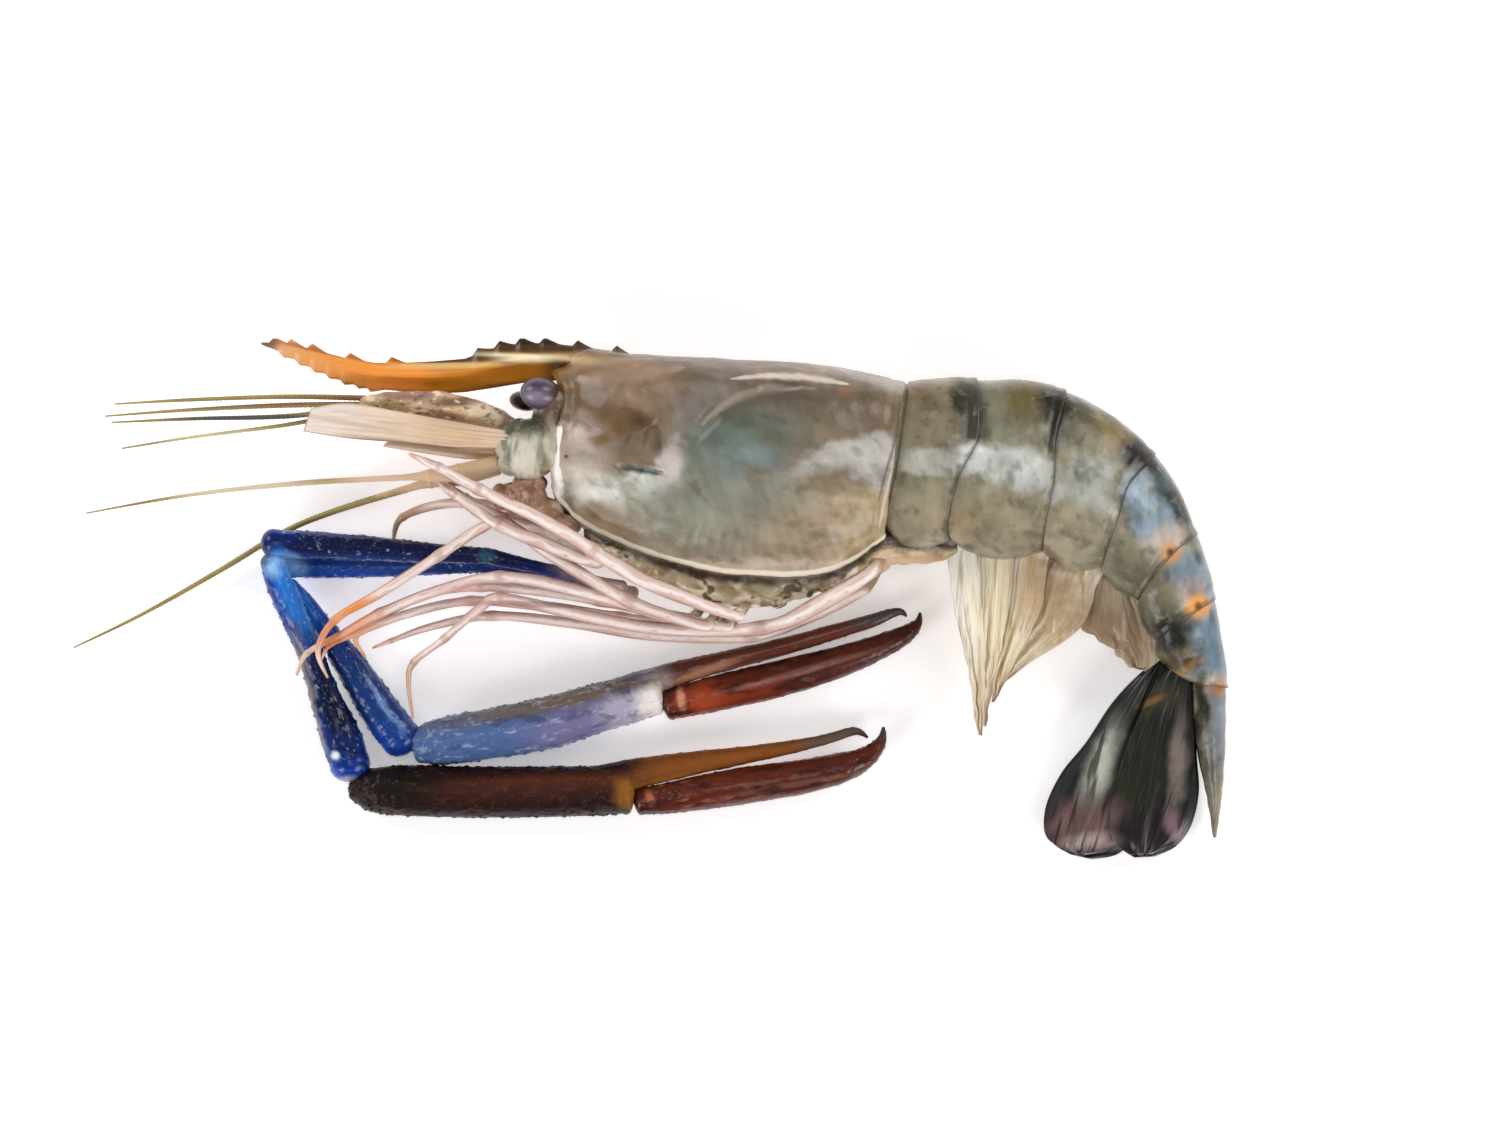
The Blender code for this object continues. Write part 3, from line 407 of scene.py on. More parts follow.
# Walking legs and mouth legs: x, y, z, radius from the root to the point, then their joints.
LEGS = {
    "leg1_left": (
        (-2, -28.8, 31.2, 1.1), (-18, -22.6, 31.6, 1.5), (-29, -16.2, 31, 1.5), (-40, -9.6, 30.2, 1.3),
        (-52, -3.9, 29.6, 1.2), (-60, 0.4, 29.2, 1), (-65.6, 3, 28.8, 0.35),
    ),
    "leg1_right": (
        (-24.6, -17, 9, 1), (-36, -14, 9.4, 1.2), (-46, -8, 9.8, 1.1), (-58, -6.6, 9.6, 1),
        (-67.6, -9.4, 8.6, 0.8), (-69.6, -14.2, 7.4, 0.3),
    ),
    "maxilliped_left": (
        (-29.6, -18.4, 25.6, 1.1), (-38, -15.2, 25.8, 1.3), (-48, -11, 25.6, 1.2), (-56.6, -5.2, 23.8, 1),
        (-60.2, -2.4, 22.2, 0.4),
    ),
    "maxilliped_right": (
        (-29.8, -17.4, 12.8, 1.1), (-38, -12.6, 13, 1.3), (-47, -9.8, 13.2, 1.2), (-55, -5.6, 13, 1),
        (-58.4, -3, 12.8, 0.4),
    ),
    "leg3_left": (
        (-8, -30.8, 27.4, 1.1), (-22, -26.2, 26, 1.3), (-36, -18, 22.6, 1.3), (-47, -10.6, 20.4, 1.2),
        (-52, -11.8, 19.4, 1.1), (-60, -17, 18, 1.1), (-72, -24.6, 16, 1), (-81, -30, 15.2, 0.8),
        (-84.4, -36, 15, 0.6), (-82.6, -41.4, 13.6, 0.25),
    ),
    "leg4_left": (
        (-4, -31.2, 24, 1.1), (-16, -28.8, 22.8, 1.3), (-34, -23.6, 20, 1.3), (-48, -21.4, 18.2, 1.2),
        (-60, -24, 16, 1.1), (-72, -28.6, 14, 1), (-80, -33, 13, 0.75), (-86.6, -36.6, 12.4, 0.6),
        (-88.8, -41, 11, 0.25),
    ),
    "leg3_right": (
        (-11, -29.6, 12.8, 1.1), (-28, -26.2, 12, 1.1), (-40, -24.2, 11, 1.1), (-52, -23.4, 10.4, 1),
        (-62, -24.6, 9.8, 0.95), (-72, -29.4, 9.2, 0.8), (-77, -33.4, 8.6, 0.6), (-75.2, -37.4, 7.6, 0.25),
    ),
    "leg4_right": (
        (-6, -31.8, 10.4, 1.1), (-24, -29.6, 10.2, 1.2), (-40, -27.2, 10.6, 1.1), (-54, -26.2, 10.6, 1),
        (-66, -28.6, 10.8, 0.9), (-76, -32.4, 11.2, 0.7), (-82, -35, 11.6, 0.5), (-83.8, -37.8, 11.4, 0.25),
    ),
    "leg5_left": (
        (25.4, -20.8, 28.4, 1.4), (16, -26.6, 25.8, 1.7), (4, -31.6, 21.2, 1.4), (-18, -31.4, 19, 1.3),
        (-36, -28, 17.6, 1.2), (-48, -25.6, 16.8, 1.15), (-52, -27.6, 16, 1), (-59, -33.6, 13.4, 0.8),
        (-65.4, -38.6, 11.4, 0.7), (-66.4, -43, 10.2, 0.5), (-65.6, -49.6, 8.8, 0.25),
    ),
    "leg5_right": (
        (24, -24.4, 8.4, 1.2), (14, -29.2, 7.8, 1.4), (2, -33.2, 7.4, 1.3), (-18, -33, 7.4, 1.2),
        (-34, -30.6, 7.4, 1.1), (-50, -29.2, 7.6, 1), (-62, -31.4, 7.8, 0.8), (-70, -34.2, 7.8, 0.5),
        (-73.6, -35.6, 7.8, 0.25),
    ),
}
LEG_JOINTS = {
    "leg1_left": (2, 4, 5),
    "leg1_right": (2, 4),
    "maxilliped_left": (2, 3),
    "maxilliped_right": (2, 3),
    "leg3_left": (1, 3, 5, 7),
    "leg4_left": (1, 3, 5, 7),
    "leg3_right": (1, 3, 5, 6),
    "leg4_right": (1, 3, 5, 6),
    "leg5_left": (2, 5, 7, 8),
    "leg5_right": (2, 5, 7),
}

# Each leg's hip, hidden in the flesh above it: how far on along the leg's line it lies, then its
# shift in x, in y and towards the plane of symmetry.
HIPS = ((2.6, 0.8, 3, 8.4), (1.8, 0.2, 0.9, 3.2))

# Feelers: a jointed root and long whips, each as x, y, z, radius.
FEELERS = {
    "antenna_left": (
        (-48.6, 1.2, 25.2, 1.7), (-56, -0.6, 25.6, 1.7), (-62, -1.2, 25.4, 1.2), (-68, -1.6, 25, 0.6),
        (-88, -2.7, 22.2, 0.5), (-110, -5, 16.8, 0.35), (-131, -8.6, 10, 0.15),
    ),
    "antenna_right": (
        (-48.6, 0.6, 11.8, 1.7), (-56, -1.4, 11.4, 1.7), (-62, -2.4, 10.8, 1.2), (-67, -3.8, 10, 0.75),
        (-82, -8.4, 6.6, 0.6), (-92, -12.6, 4.2, 0.55), (-104, -19.8, 3, 0.5), (-120, -28.8, 1.6, 0.35),
        (-134, -35.6, 0.6, 0.15),
    ),
}
# The short feelers' root, with its distance from the plane of symmetry in the place of z.
ANTENNULE_ROOT = (
    (-46, 8.8, 2.9, 1.8), (-51, 10.6, 3.4, 2.7), (-58, 12.2, 3.7, 3), (-65, 12.9, 3.7, 2.8),
    (-71, 13.3, 3.7, 2), (-74.6, 13.5, 3.7, 1.3),
)
ANTENNULE_WHIPS = {
    "left": (
        (
            (-72.4, 14.2, 22.2, 0.55), (-90, 14.6, 20.6, 0.45), (-110, 14, 17.4, 0.35),
            (-125, 13.2, 14.6, 0.15),
        ),
        (
            (-72.4, 13, 22.2, 0.55), (-90, 12.9, 19.8, 0.5), (-110, 12, 16, 0.35), (-127, 10.8, 12.6, 0.15),
        ),
    ),
    "right": (
        (
            (-72.4, 14, 14.8, 0.55), (-88, 11, 13.2, 0.5), (-110, 10.3, 10, 0.35), (-126, 9.6, 7.6, 0.15),
        ),
        (
            (-72.4, 12.6, 14.8, 0.5), (-90, 9.2, 12, 0.4), (-110, 6.6, 9, 0.3), (-124, 4.4, 7, 0.15),
        ),
    ),
}
# Flat scales: upper edge, lower edge, height over the table.
FEELER_SCALES = {
    "left": (
        ((-45.6, 7.6), (-58, 9.8), (-68, 11.6), (-78, 13.2), (-85.4, 12.2)),
        ((-45.6, 4.2), (-58, 4.4), (-68, 5.4), (-78, 6.2), (-87, 7.6)), 27.4,
    ),
    "right": (
        ((-45.6, 6.4), (-54, 7.8), (-60, 8), (-66, 7.4), (-71, 5.6)),
        ((-45.6, 2.6), (-54, 2.2), (-60, 2.9), (-66, 3.8), (-71.6, 4.7)), 9.4,
    ),
}

# Pigment on each shell, with some painted highlights, reflections and shade among it: colour,
# centre x and y, half length, half width, turn in degrees, how soft its edge is, and how strong it is.
HEAD_BLOTS = (
    ("#958c78", -4, -15, 36, 12, -4, 0.7, 0.85),
    ("#a8947a", 17.2, -12.4, 14, 11.2, 0, 0.8, 0.85),
    ("#bda67c", 28, -15, 8.4, 9.6, 10, 0.8, 0.85),
    ("#6a5845", -7, 19.8, 26, 2.6, -3, 0.8, 0.85),
    ("#98745a", -24.8, 20.6, 10.8, 2.2, -2, 0.8, 0.8),
    ("#9c8676", 10, 19.6, 12, 1.4, -4, 0.8, 0.6),
    ("#b2a8a0", 26.4, 17.8, 9.2, 1.6, -12, 0.8, 0.85),
    ("#6e5638", -28, 14.8, 10, 4.8, -12, 0.9, 0.9),
    ("#9a7f68", -19.6, 15.6, 10, 3.2, -6, 0.9, 0.75),
    ("#6c6456", 10, 11.6, 16.8, 5.2, 6, 0.9, 0.85),
    ("#7a6650", 23.6, 12.8, 9.2, 5.2, -16, 0.9, 0.9),
    ("#7d7672", -8, 13.2, 8, 5.2, 30, 0.9, 0.7),
    ("#cbbaab", -32.8, 4.8, 6.8, 5.2, 0, 0.8, 0.9),
    ("#d6cdbe", -30.8, -3.2, 6, 4.2, -12, 0.8, 0.85),
    ("#dcded6", -21.2, -3.4, 8, 2.6, 6, 0.8, 0.9),
    ("#6c8078", -1.4, 4, 11.2, 7.2, 6, 0.9, 0.75),
    ("#6f8790", 1.2, 0.8, 5.6, 3, 14, 0.9, 0.45),
    ("#7c8478", 6, -6, 9.2, 4, 0, 0.9, 0.5),
    ("#868b7c", -10, -8, 12, 4.8, -14, 0.9, 0.75),
    ("#c6bab6", -13.6, 2, 3, 3.4, -20, 0.6, 0.85),
    ("#6e5234", -22.8, 9.2, 6.8, 3, 10, 0.9, 0.85),
    ("#3c2614", -20.4, 9.6, 1.8, 1.4, -30, 0.9, 0.8),
    ("#7a5a28", -26.8, 6.4, 2.6, 1.2, 20, 0.9, 0.8),
    ("#4a3828", -16.2, 4.8, 0.6, 2, 4, 0.9, 0.5),
    ("#4a3626", -18.8, 6, 0.5, 1.6, -14, 0.9, 0.45),
    ("#5a4028", -22, 6.4, 0.4, 1.8, -30, 0.9, 0.65),
    ("#857870", -10.4, 12.4, 2.8, 4.4, -20, 0.9, 0.4),
    ("#544c40", 16.4, 13.2, 8, 2.8, -20, 0.9, 0.6),
    ("#55645c", -2, 8, 6.8, 1.8, 24, 0.9, 0.4),
    # Painted reflection: three pale patches along the top of the flank.
    ("#b6b2ab", 26.8, 2.2, 6, 6, -8, 0.35, 0.92),
    ("#b6b2ab", 19.6, 2, 7.2, 3, 12, 0.5, 0.88),
    ("#b8b3ac", 15.2, 0.4, 4.8, 1.4, 10, 0.7, 0.78),
    ("#96704e", 21.2, 15.4, 1.8, 1, 0, 0.9, 0.6),
    ("#7e7e62", -11.2, -12, 4.4, 2.4, -20, 0.8, 0.6),
    ("#7c5f3c", -25.2, -10, 5.6, 1.6, -32, 0.9, 0.88),
    ("#6a4a2c", -28.8, -8.4, 2.4, 1.6, -30, 0.8, 0.7),
    ("#3c3029", -34.6, 2.6, 0.4, 0.4, 0, 0.6, 0.85),
    ("#cdb9a4", 4, -19.2, 16, 1.6, 2, 0.9, 0.7),
    ("#fcf9f4", -36.8, 1.2, 1.3, 7.6, 2, 0.35, 0.95),
)
TAIL_BLOTS = (
    ("#8a7a5c", 37, 14, 6.8, 6.8, 0, 0.9, 0.8),
    ("#7a5e44", 35.6, 16.4, 3.6, 2.4, 0, 0.9, 0.6),
    ("#736553", 38, 9.6, 4.4, 5.2, 0, 0.9, 0.6),
    ("#181408", 45.2, 11.6, 3.2, 7.6, 0, 0.8, 0.96),
    ("#858674", 52.8, 9.6, 6, 6.8, 0, 0.9, 0.6),
    ("#665628", 57.2, 14, 5.6, 4.4, 0, 0.9, 0.85),
    ("#0e0a06", 63, 12, 3.2, 6.8, 10, 0.7, 0.97),
    ("#2a2014", 62.2, 6, 1.2, 3.2, 8, 0.8, 0.85),
    ("#333a2a", 67.6, 10, 3.2, 5.6, 22, 0.8, 0.88),
    ("#75683a", 72.8, 7.2, 6.4, 4, -30, 0.9, 0.92),
    ("#7a5c38", 77.2, 4.8, 2.8, 2.4, 0, 0.8, 0.7),
    # These six rows: painted reflections, pale patches on the tops of the rings' flanks.
    ("#b6b2a6", 37, 1.6, 5.4, 3, -8, 0.5, 0.9),
    ("#a9a79c", 40, 0, 5.6, 1.4, -6, 0.5, 0.7),
    ("#c4c6c0", 52.8, 1.2, 10.8, 4, -14, 0.5, 0.94),
    ("#c9cac4", 50, 3, 5.2, 1.2, -8, 0.7, 0.6),
    ("#c4c4be", 63.2, -5.6, 2.4, 2.8, -40, 0.6, 0.75),
    ("#a6a7a0", 70, -2.8, 4.8, 5.2, 20, 0.6, 0.85),
    ("#74766c", 68, 0, 1.6, 2.4, 20, 0.7, 0.7),
    ("#83847c", 72, -6, 2, 1.6, 0, 0.7, 0.6),
    # Painted reflection on the third ring's flank.
    ("#b9b3ac", 73.2, -7.2, 1.6, 3.6, 30, 0.8, 0.6),
    ("#94805a", 44, -11.6, 4, 4.8, 0, 0.8, 0.85),
    ("#9a8f76", 55, -11.6, 9.6, 5.6, -8, 0.9, 0.8),
    ("#a0937a", 34, -11, 8, 6, 0, 0.9, 0.8),
    ("#a1967e", 66.4, -16.4, 6.8, 6.8, 0, 0.9, 0.85),
    ("#4a3420", 45, -15.8, 1.8, 1, 0, 0.7, 0.9),
    ("#5a4226", 61.2, -17.6, 3.6, 1.6, -40, 0.7, 0.85),
    ("#4a3420", 60, -19.2, 2, 0.8, -20, 0.7, 0.85),
    ("#8a9fad", 82, -8.4, 4.4, 8, 28, 0.5, 0.95),
    ("#a9b9c4", 80.4, -4.8, 2.4, 2.4, 26, 0.8, 0.6),
    ("#202c28", 87.2, -7.6, 2.2, 7.2, 30, 0.7, 0.96),
    ("#4a5c62", 83.6, -1.2, 3.6, 1.8, -40, 0.7, 0.85),
    ("#c9b8a8", 85.2, -14, 4.4, 2.8, 10, 0.8, 0.85),
    ("#7c929f", 90.4, -21.2, 4, 5.6, 26, 0.6, 0.92),
    ("#6b8293", 94.4, -34, 4.8, 12, 6, 0.6, 0.95),
    ("#c0a698", 90.4, -25.2, 2.8, 4, 20, 0.8, 0.7),
    ("#767260", 76.4, -20.8, 6, 6.4, 20, 0.8, 0.9),
    ("#625c48", 80.4, -25.2, 4.4, 5.2, 20, 0.8, 0.85),
    ("#8a7f68", 74.4, -17.2, 3.2, 2.4, 20, 0.9, 0.6),
    ("#1c1c18", 84.8, -32, 4.8, 4.4, 10, 0.8, 0.97),
    ("#0c1218", 86.4, -34, 3, 2.6, 0, 0.7, 0.9),
    ("#6a5a54", 80.4, -34.4, 2.8, 2.6, 0, 0.8, 0.8),
    ("#4a3c1e", 87.6, -38.4, 4.8, 2.4, 20, 0.8, 0.92),
    ("#a07832", 89.6, -39.6, 4, 0.7, 32, 0.9, 0.65),
    ("#d8b894", 95.6, -42.8, 2.8, 2.8, 0, 0.8, 0.8),
    ("#1c1a10", 91.4, -55, 1.8, 16, -5, 0.6, 0.95),
    ("#6c665a", 93.6, -62, 2, 12, -3, 0.8, 0.8),
    ("#7e8690", 95.8, -49, 1.6, 10, -2, 0.8, 0.85),
    ("#0a0504", 80.4, 2.2, 4.6, 3.4, -36, 0.6, 0.97),
)
FAN_BLOTS = (
    ("#1a1c24", 65.2, -53, 5.2, 16.8, -26, 0.8, 0.95),
    # Painted sheen: a pale streak down the outer blade.
    ("#aeaea2", 72.8, -59, 2.5, 8, -20, 0.9, 0.85),
    ("#1c1e10", 80.4, -59, 4.8, 14, -8, 0.8, 0.95),
    ("#80706a", 88, -58.4, 1.6, 8, -2, 0.9, 0.75),
    ("#6a504e", 68.4, -70.4, 8, 4, 8, 0.8, 0.9),
    ("#b59e98", 70.4, -74.6, 5.2, 1.6, 6, 0.9, 0.75),
    ("#2c2224", 62, -67.2, 2.4, 4.4, -10, 0.7, 0.85),
    ("#1e1018", 82, -73.2, 7.2, 4.4, 0, 0.7, 0.95),
    ("#80646a", 87.2, -71.2, 2, 3.2, 20, 0.8, 0.7),
    ("#3a3420", 83, -45.6, 5.2, 2.8, 18, 0.8, 0.9),
    ("#946830", 82.4, -46.4, 2.6, 0.6, 24, 0.9, 0.6),
    ("#171d1a", 78.4, -44, 4.4, 2.8, 30, 0.8, 0.8),
)
BEAK_BLOTS = (
    ("#e0b088", -89.6, 24.2, 12, 4.8, -8, 0.7, 0.97),
    ("#f09c4a", -77.6, 20.8, 14, 5.2, -14, 0.8, 0.95),
    ("#fa9a3a", -64.4, 18.2, 14, 4.4, -4, 0.8, 0.94),
    ("#cc8018", -50.4, 18.4, 13.2, 3.6, 2, 0.5, 0.95),
    ("#8a5a22", -44, 16.4, 10, 1, 0, 0.8, 0.8),
    ("#9c7236", -35.6, 20, 3.2, 1.4, 0, 0.9, 0.6),
    # This row and the next: painted highlight along the beak's rib.
    ("#ecca86", -58.4, 20.8, 11.2, 0.6, 1, 0.8, 0.75),
    ("#fbe9b8", -43.6, 22.5, 8, 1, -3, 0.8, 0.96),
    ("#a8702c", -42, 23.8, 12, 0.6, -2, 0.7, 0.85),
    ("#4a3216", -40, 24.8, 18.4, 1.5, 0, 0.6, 0.95),
    ("#2a1a0c", -41.2, 25.9, 14.8, 0.9, 0, 0.6, 0.85),
    ("#3a2a18", -58.8, 22.1, 11.2, 0.7, 1, 0.6, 0.9),
    ("#6a4a3a", -94.8, 25.4, 2.8, 1.4, 0, 0.7, 0.85),
    ("#8a4a24", -82.4, 23.6, 10.4, 0.6, -12, 0.7, 0.7),
    ("#8f7440", -27.6, 21.6, 6.8, 1.2, -4, 0.9, 0.5),
    # Painted highlight: the rib's pale band where it runs on over the shell.
    ("#dcb880", -33.6, 22.1, 4.4, 0.8, -3, 0.95, 0.6),
)
FEELER_BASE_BLOTS = (
    ("#4a4630", -43.2, 9.2, 7.2, 2.8, 0, 0.7, 0.92),
    ("#2e3826", -41.6, 10, 4, 1.6, 0, 0.8, 0.75),
    ("#d8d0be", -42.8, 1.6, 3.2, 2, 20, 0.8, 0.8),
    ("#5c4630", -37.4, 12.4, 3, 4, 0, 0.7, 0.94),
    ("#8a6e50", -38.8, 0, 1.2, 2.8, 8, 0.7, 0.8),
    ("#3a3c2c", -45.6, 8, 0.6, 2.4, -30, 0.7, 0.8),
    ("#a39a80", -37.6, 7.6, 1.2, 2.8, 0, 0.8, 0.7),
    ("#6a6e5a", -46.4, 3.6, 0.8, 4, 8, 0.7, 0.75),
    ("#6a6e5a", -39.8, 3, 0.7, 3.6, 0, 0.7, 0.7),
)
FEELER_BLOTS = (
    ("#dcb49a", -68, -1.2, 11.2, 3.2, 0, 0.6, 0.9),
    ("#cdae90", -54, 0, 12, 4, 0, 0.6, 0.8),
    ("#d8c4ac", -98, -4, 18, 2, 0, 0.7, 0.9),
    ("#7a5a40", -90, 13.6, 24, 1, 2, 0.7, 0.85),
    ("#44424a", -98, 10.4, 16, 0.9, 0, 0.7, 0.9),
    ("#d8d0a4", -100, 6.4, 16, 1.8, 0, 0.7, 0.9),
)
FEELER_ROOT_BLOTS = (
    ("#8c6a5c", -65.6, 15.4, 6.8, 1.8, 0, 0.7, 0.9),
    ("#8f7f50", -70.4, 12.4, 4.8, 1.6, 0, 0.7, 0.85),
    ("#5a4030", -55.6, 13.6, 6, 1, 4, 0.7, 0.85),
    ("#e6d2b4", -50, 11.6, 3.6, 1.8, -20, 0.8, 0.7),
    ("#8a6a4a", -60, 10.8, 6, 1, -8, 0.7, 0.8),
)
UNDER_BLOTS = (
    ("#c8a478", 33, -19.2, 9.6, 4, 0, 0.8, 0.95),
    ("#8e6c44", 35, -21.4, 8.8, 1.6, 8, 0.8, 0.85),
    ("#e0c9a4", 28, -18, 4.8, 1.6, 14, 0.8, 0.6),
)
SWIMMERET_BLOTS = (
    ("#fffaf0", 44, -30, 5.2, 16, 0, 0.9, 0.9),
    ("#f7e6c0", 51.6, -34, 4.8, 14, 10, 0.9, 0.8),
    ("#ecd2b4", 48.8, -50, 5.2, 8, 0, 0.9, 0.8),
    ("#bb9a70", 62, -27, 7.2, 9.6, 20, 0.9, 0.9),
    ("#8c7054", 73.6, -31.6, 6.8, 5.6, 0, 0.8, 0.9),
    # Painted shadow: a dark band under the tail ring's lower edge.
    ("#7a5c40", 63.2, -19.2, 5.2, 0.8, -14, 0.9, 0.5),
    ("#75635a", 79.2, -34, 2.8, 4.8, 10, 0.9, 0.85),
    ("#7c6250", 68.8, -34, 4.4, 1, 10, 0.7, 0.8),
)
ARM_BLOTS = (
    ("#0a1038", -70, -15.8, 34, 3, -3, 0.7, 0.97),
    ("#2450a0", -68, -20.4, 24, 2.2, -4, 0.9, 0.7),
    ("#35617c", -50.6, -17.2, 1.8, 1.6, 0, 0.8, 0.75),
    ("#b59a9c", -54, -22, 8, 0.8, -2, 0.8, 0.7),
    ("#cdb0a6", -25.6, -22.4, 12, 3.2, -20, 0.6, 0.97),
    # Painted highlight on the elbow.
    ("#a6dcff", -91.4, -19.4, 3.8, 2.4, -10, 0.8, 0.95),
    ("#0c1424", -96.8, -17.2, 2.4, 2.4, 0, 0.8, 0.9),
    ("#2478d0", -88.8, -26, 2.8, 8.8, 22, 0.7, 0.97),
    ("#030720", -81, -46, 4.8, 12.4, 20, 0.8, 0.97),
    ("#6a6462", -86.8, -48, 2, 16, 10, 0.6, 0.9),
    # Painted highlight: a glint on the wrist's knob.
    ("#dfe8f0", -81.2, -57.2, 0.8, 0.8, 0, 0.8, 0.9),
    ("#a8989c", -78, -62.4, 2.4, 1, 0, 0.8, 0.8),
    ("#17366e", -73.6, -44.4, 4.8, 12, 34, 0.8, 0.9),
    # Painted highlight along the carpus.
    ("#86a8d8", -71.2, -47.2, 0.7, 6, 34, 0.8, 0.6),
)
HAND_BLOTS = (
    ("#4c6694", -54, -54.4, 18, 6.8, 10, 0.9, 0.95),
    ("#7a7298", -30.4, -50.8, 12, 4.4, 14, 0.8, 0.95),
    ("#b4aabc", -22.8, -48.4, 5.2, 4.8, 14, 0.8, 0.85),
    ("#f4eae4", -16.4, -45.6, 4.4, 5.2, 14, 0.7, 0.97),
    ("#73634c", -34, -45.6, 22, 1.8, 13, 0.8, 0.9),
    ("#46402f", -44, -46.8, 22, 0.6, 13, 0.8, 0.75),
    ("#7a3a30", -12.4, -45.6, 0.8, 3.4, 8, 0.6, 0.85),
)
BROWN_BLOTS = (
    ("#3c1610", -44, -64, 24, 2.4, 2, 0.9, 0.8),
    ("#5c2a14", -36, -62, 18, 1.2, 2, 0.9, 0.6),
    ("#0c0806", -70, -62, 8, 6, 0, 0.8, 0.9),
)
FINGER_BLOTS = (
    ("#a8431e", -6.4, -45.4, 5.6, 2.8, 8, 0.8, 0.95),
    ("#7e2e16", 1.6, -44, 8, 2.4, 10, 0.8, 0.8),
    ("#e4a080", -11.8, -45.8, 0.8, 2.4, 10, 0.8, 0.8),
    ("#571f10", -10, -66, 8.8, 2.4, 6, 0.8, 0.9),
    ("#b0684c", -18, -66, 0.8, 1.8, 20, 0.8, 0.75),
    # This row and the next: painted highlight lines along the moving fingers.
    ("#8c5a50", 12, -40.4, 16, 0.7, 16, 0.7, 0.6),
    ("#7c5248", 10, -63.2, 16, 0.6, 10, 0.7, 0.5),
)
EYE_BLOTS = (
    ("#12100e", -44.8, 13.4, 2.2, 2.4, 0, 0.4, 0.98),
    ("#4a3020", -36.6, 14.4, 1.4, 4.4, 0, 0.6, 0.9),
    # Painted sheen: a pale lilac patch across the eye.
    ("#8f8498", -40.8, 14.4, 2.8, 1.4, -8, 0.9, 0.7),
)
FEELER_SCALE_BLOTS = (
    ("#d8b894", -57, 6.8, 12, 3.2, -8, 0.9, 0.9),
    ("#e9ddd4", -83, 10.8, 6.8, 3.6, -4, 0.9, 0.9),
    ("#b79a72", -54, 9.6, 8, 1, -6, 0.8, 0.7),
    ("#c8a99a", -77.6, 9.2, 10, 0.6, -10, 0.8, 0.6),
    ("#8f7a5c", -64, 4.8, 14, 0.6, -8, 0.7, 0.7),
)
MOUTH_BLOTS = (
    ("#8a6a4e", -37.6, -7.2, 5.2, 3.2, -30, 0.8, 0.85),
    ("#e0cdb6", -33.6, -8.8, 4, 1, -35, 0.7, 0.8),
)
SPOT_BLOTS = (
    ("#d89c5e", 86, -16.4, 2, 2, 0, 0.8, 0.92),
    ("#5e3a1e", 85.8, -16.4, 0.7, 0.8, 0, 0.8, 0.9),
    ("#eca850", 91.6, -27.2, 2.4, 2.2, 0, 0.8, 0.94),
    ("#7a4a1e", 91.6, -27.2, 0.8, 0.8, 0, 0.8, 0.9),
    ("#c89050", 96, -43.6, 1.4, 1.4, 0, 0.8, 0.9),
    ("#4c5a66", 85.2, -21, 0.6, 1.2, 0, 0.8, 0.8),
    ("#303c46", 91.6, -17.4, 0.8, 1.6, 20, 0.8, 0.85),
    ("#3c4650", 94.4, -28.8, 0.6, 1.4, 0, 0.8, 0.7),
    ("#2c3640", 89.6, -31.6, 0.8, 0.8, 0, 0.8, 0.8),
)
HAND_FINGER_BLOTS = (
    ("#a8785c", -7.2, -40.4, 6.8, 1, 20, 0.8, 0.85),
    ("#c69a80", 4, -38.8, 12, 0.6, 14, 0.7, 0.6),
    ("#4a4442", 30, -28.4, 8, 2.4, 16, 0.6, 0.95),
)
BROWN_FINGER_BLOTS = (
    ("#8a5614", -22, -64.8, 2.8, 2.8, 0, 0.8, 0.9),
    ("#b07a30", -10, -61.2, 10, 0.8, 12, 0.7, 0.8),
    ("#7e4616", -2, -58.4, 18, 2.4, 10, 0.8, 0.9),
    ("#5a4c3c", 21, -53.6, 9.2, 2.4, 12, 0.6, 0.95),
    ("#2a2a28", 25.6, -54, 3.6, 2, 0, 0.7, 0.9),
)
LEG_BLOTS = (
    ("#e6a47e", -78.8, -30.8, 7.2, 6.8, 0, 0.8, 0.85),
    ("#dd8a34", -78, -27.2, 4, 2.6, 20, 0.8, 0.85),
    ("#c9742c", -82, -34, 2.4, 4.4, 0, 0.6, 0.7),
    ("#d8c0a4", -88, -38, 2.8, 6, 0, 0.7, 0.7),
    ("#b08a5c", -68, -44, 5.2, 8, 0, 0.7, 0.7),
    ("#a8805c", -67, -10, 4.4, 5.2, 0, 0.7, 0.8),
    ("#8a5c54", -44, -26.8, 12, 0.6, -2, 0.7, 0.6),
    ("#d0a49c", -54, -25.2, 10, 2.8, -16, 0.9, 0.5),
)
# Uneven edges of the paint: waves in a millimetre, and how far they move an edge either way.
RAGGED_WAVES = 0.45
RAGGED_REACH = 0.35
# Blots wider than this wander from their place, and all of them go through the whole body.
WIDE_BLOT = 2.6
BLOT_DEPTH = 400

# What the camera sees the middle of, and the lens that keeps it nearly free of perspective.
VIEW_CENTRE = (2.0, -18.5, 15.0)
LENS = 300.0
SENSOR_WIDTH = 36.0
# The nearest and the farthest that the camera sees, in metres.
CLIP = (0.1, 20.0)
FLOOR_HALF_SIZE = 3.0
ROOM_COLOUR = "#fbfaff"
ROOM_STRENGTH = 0.17
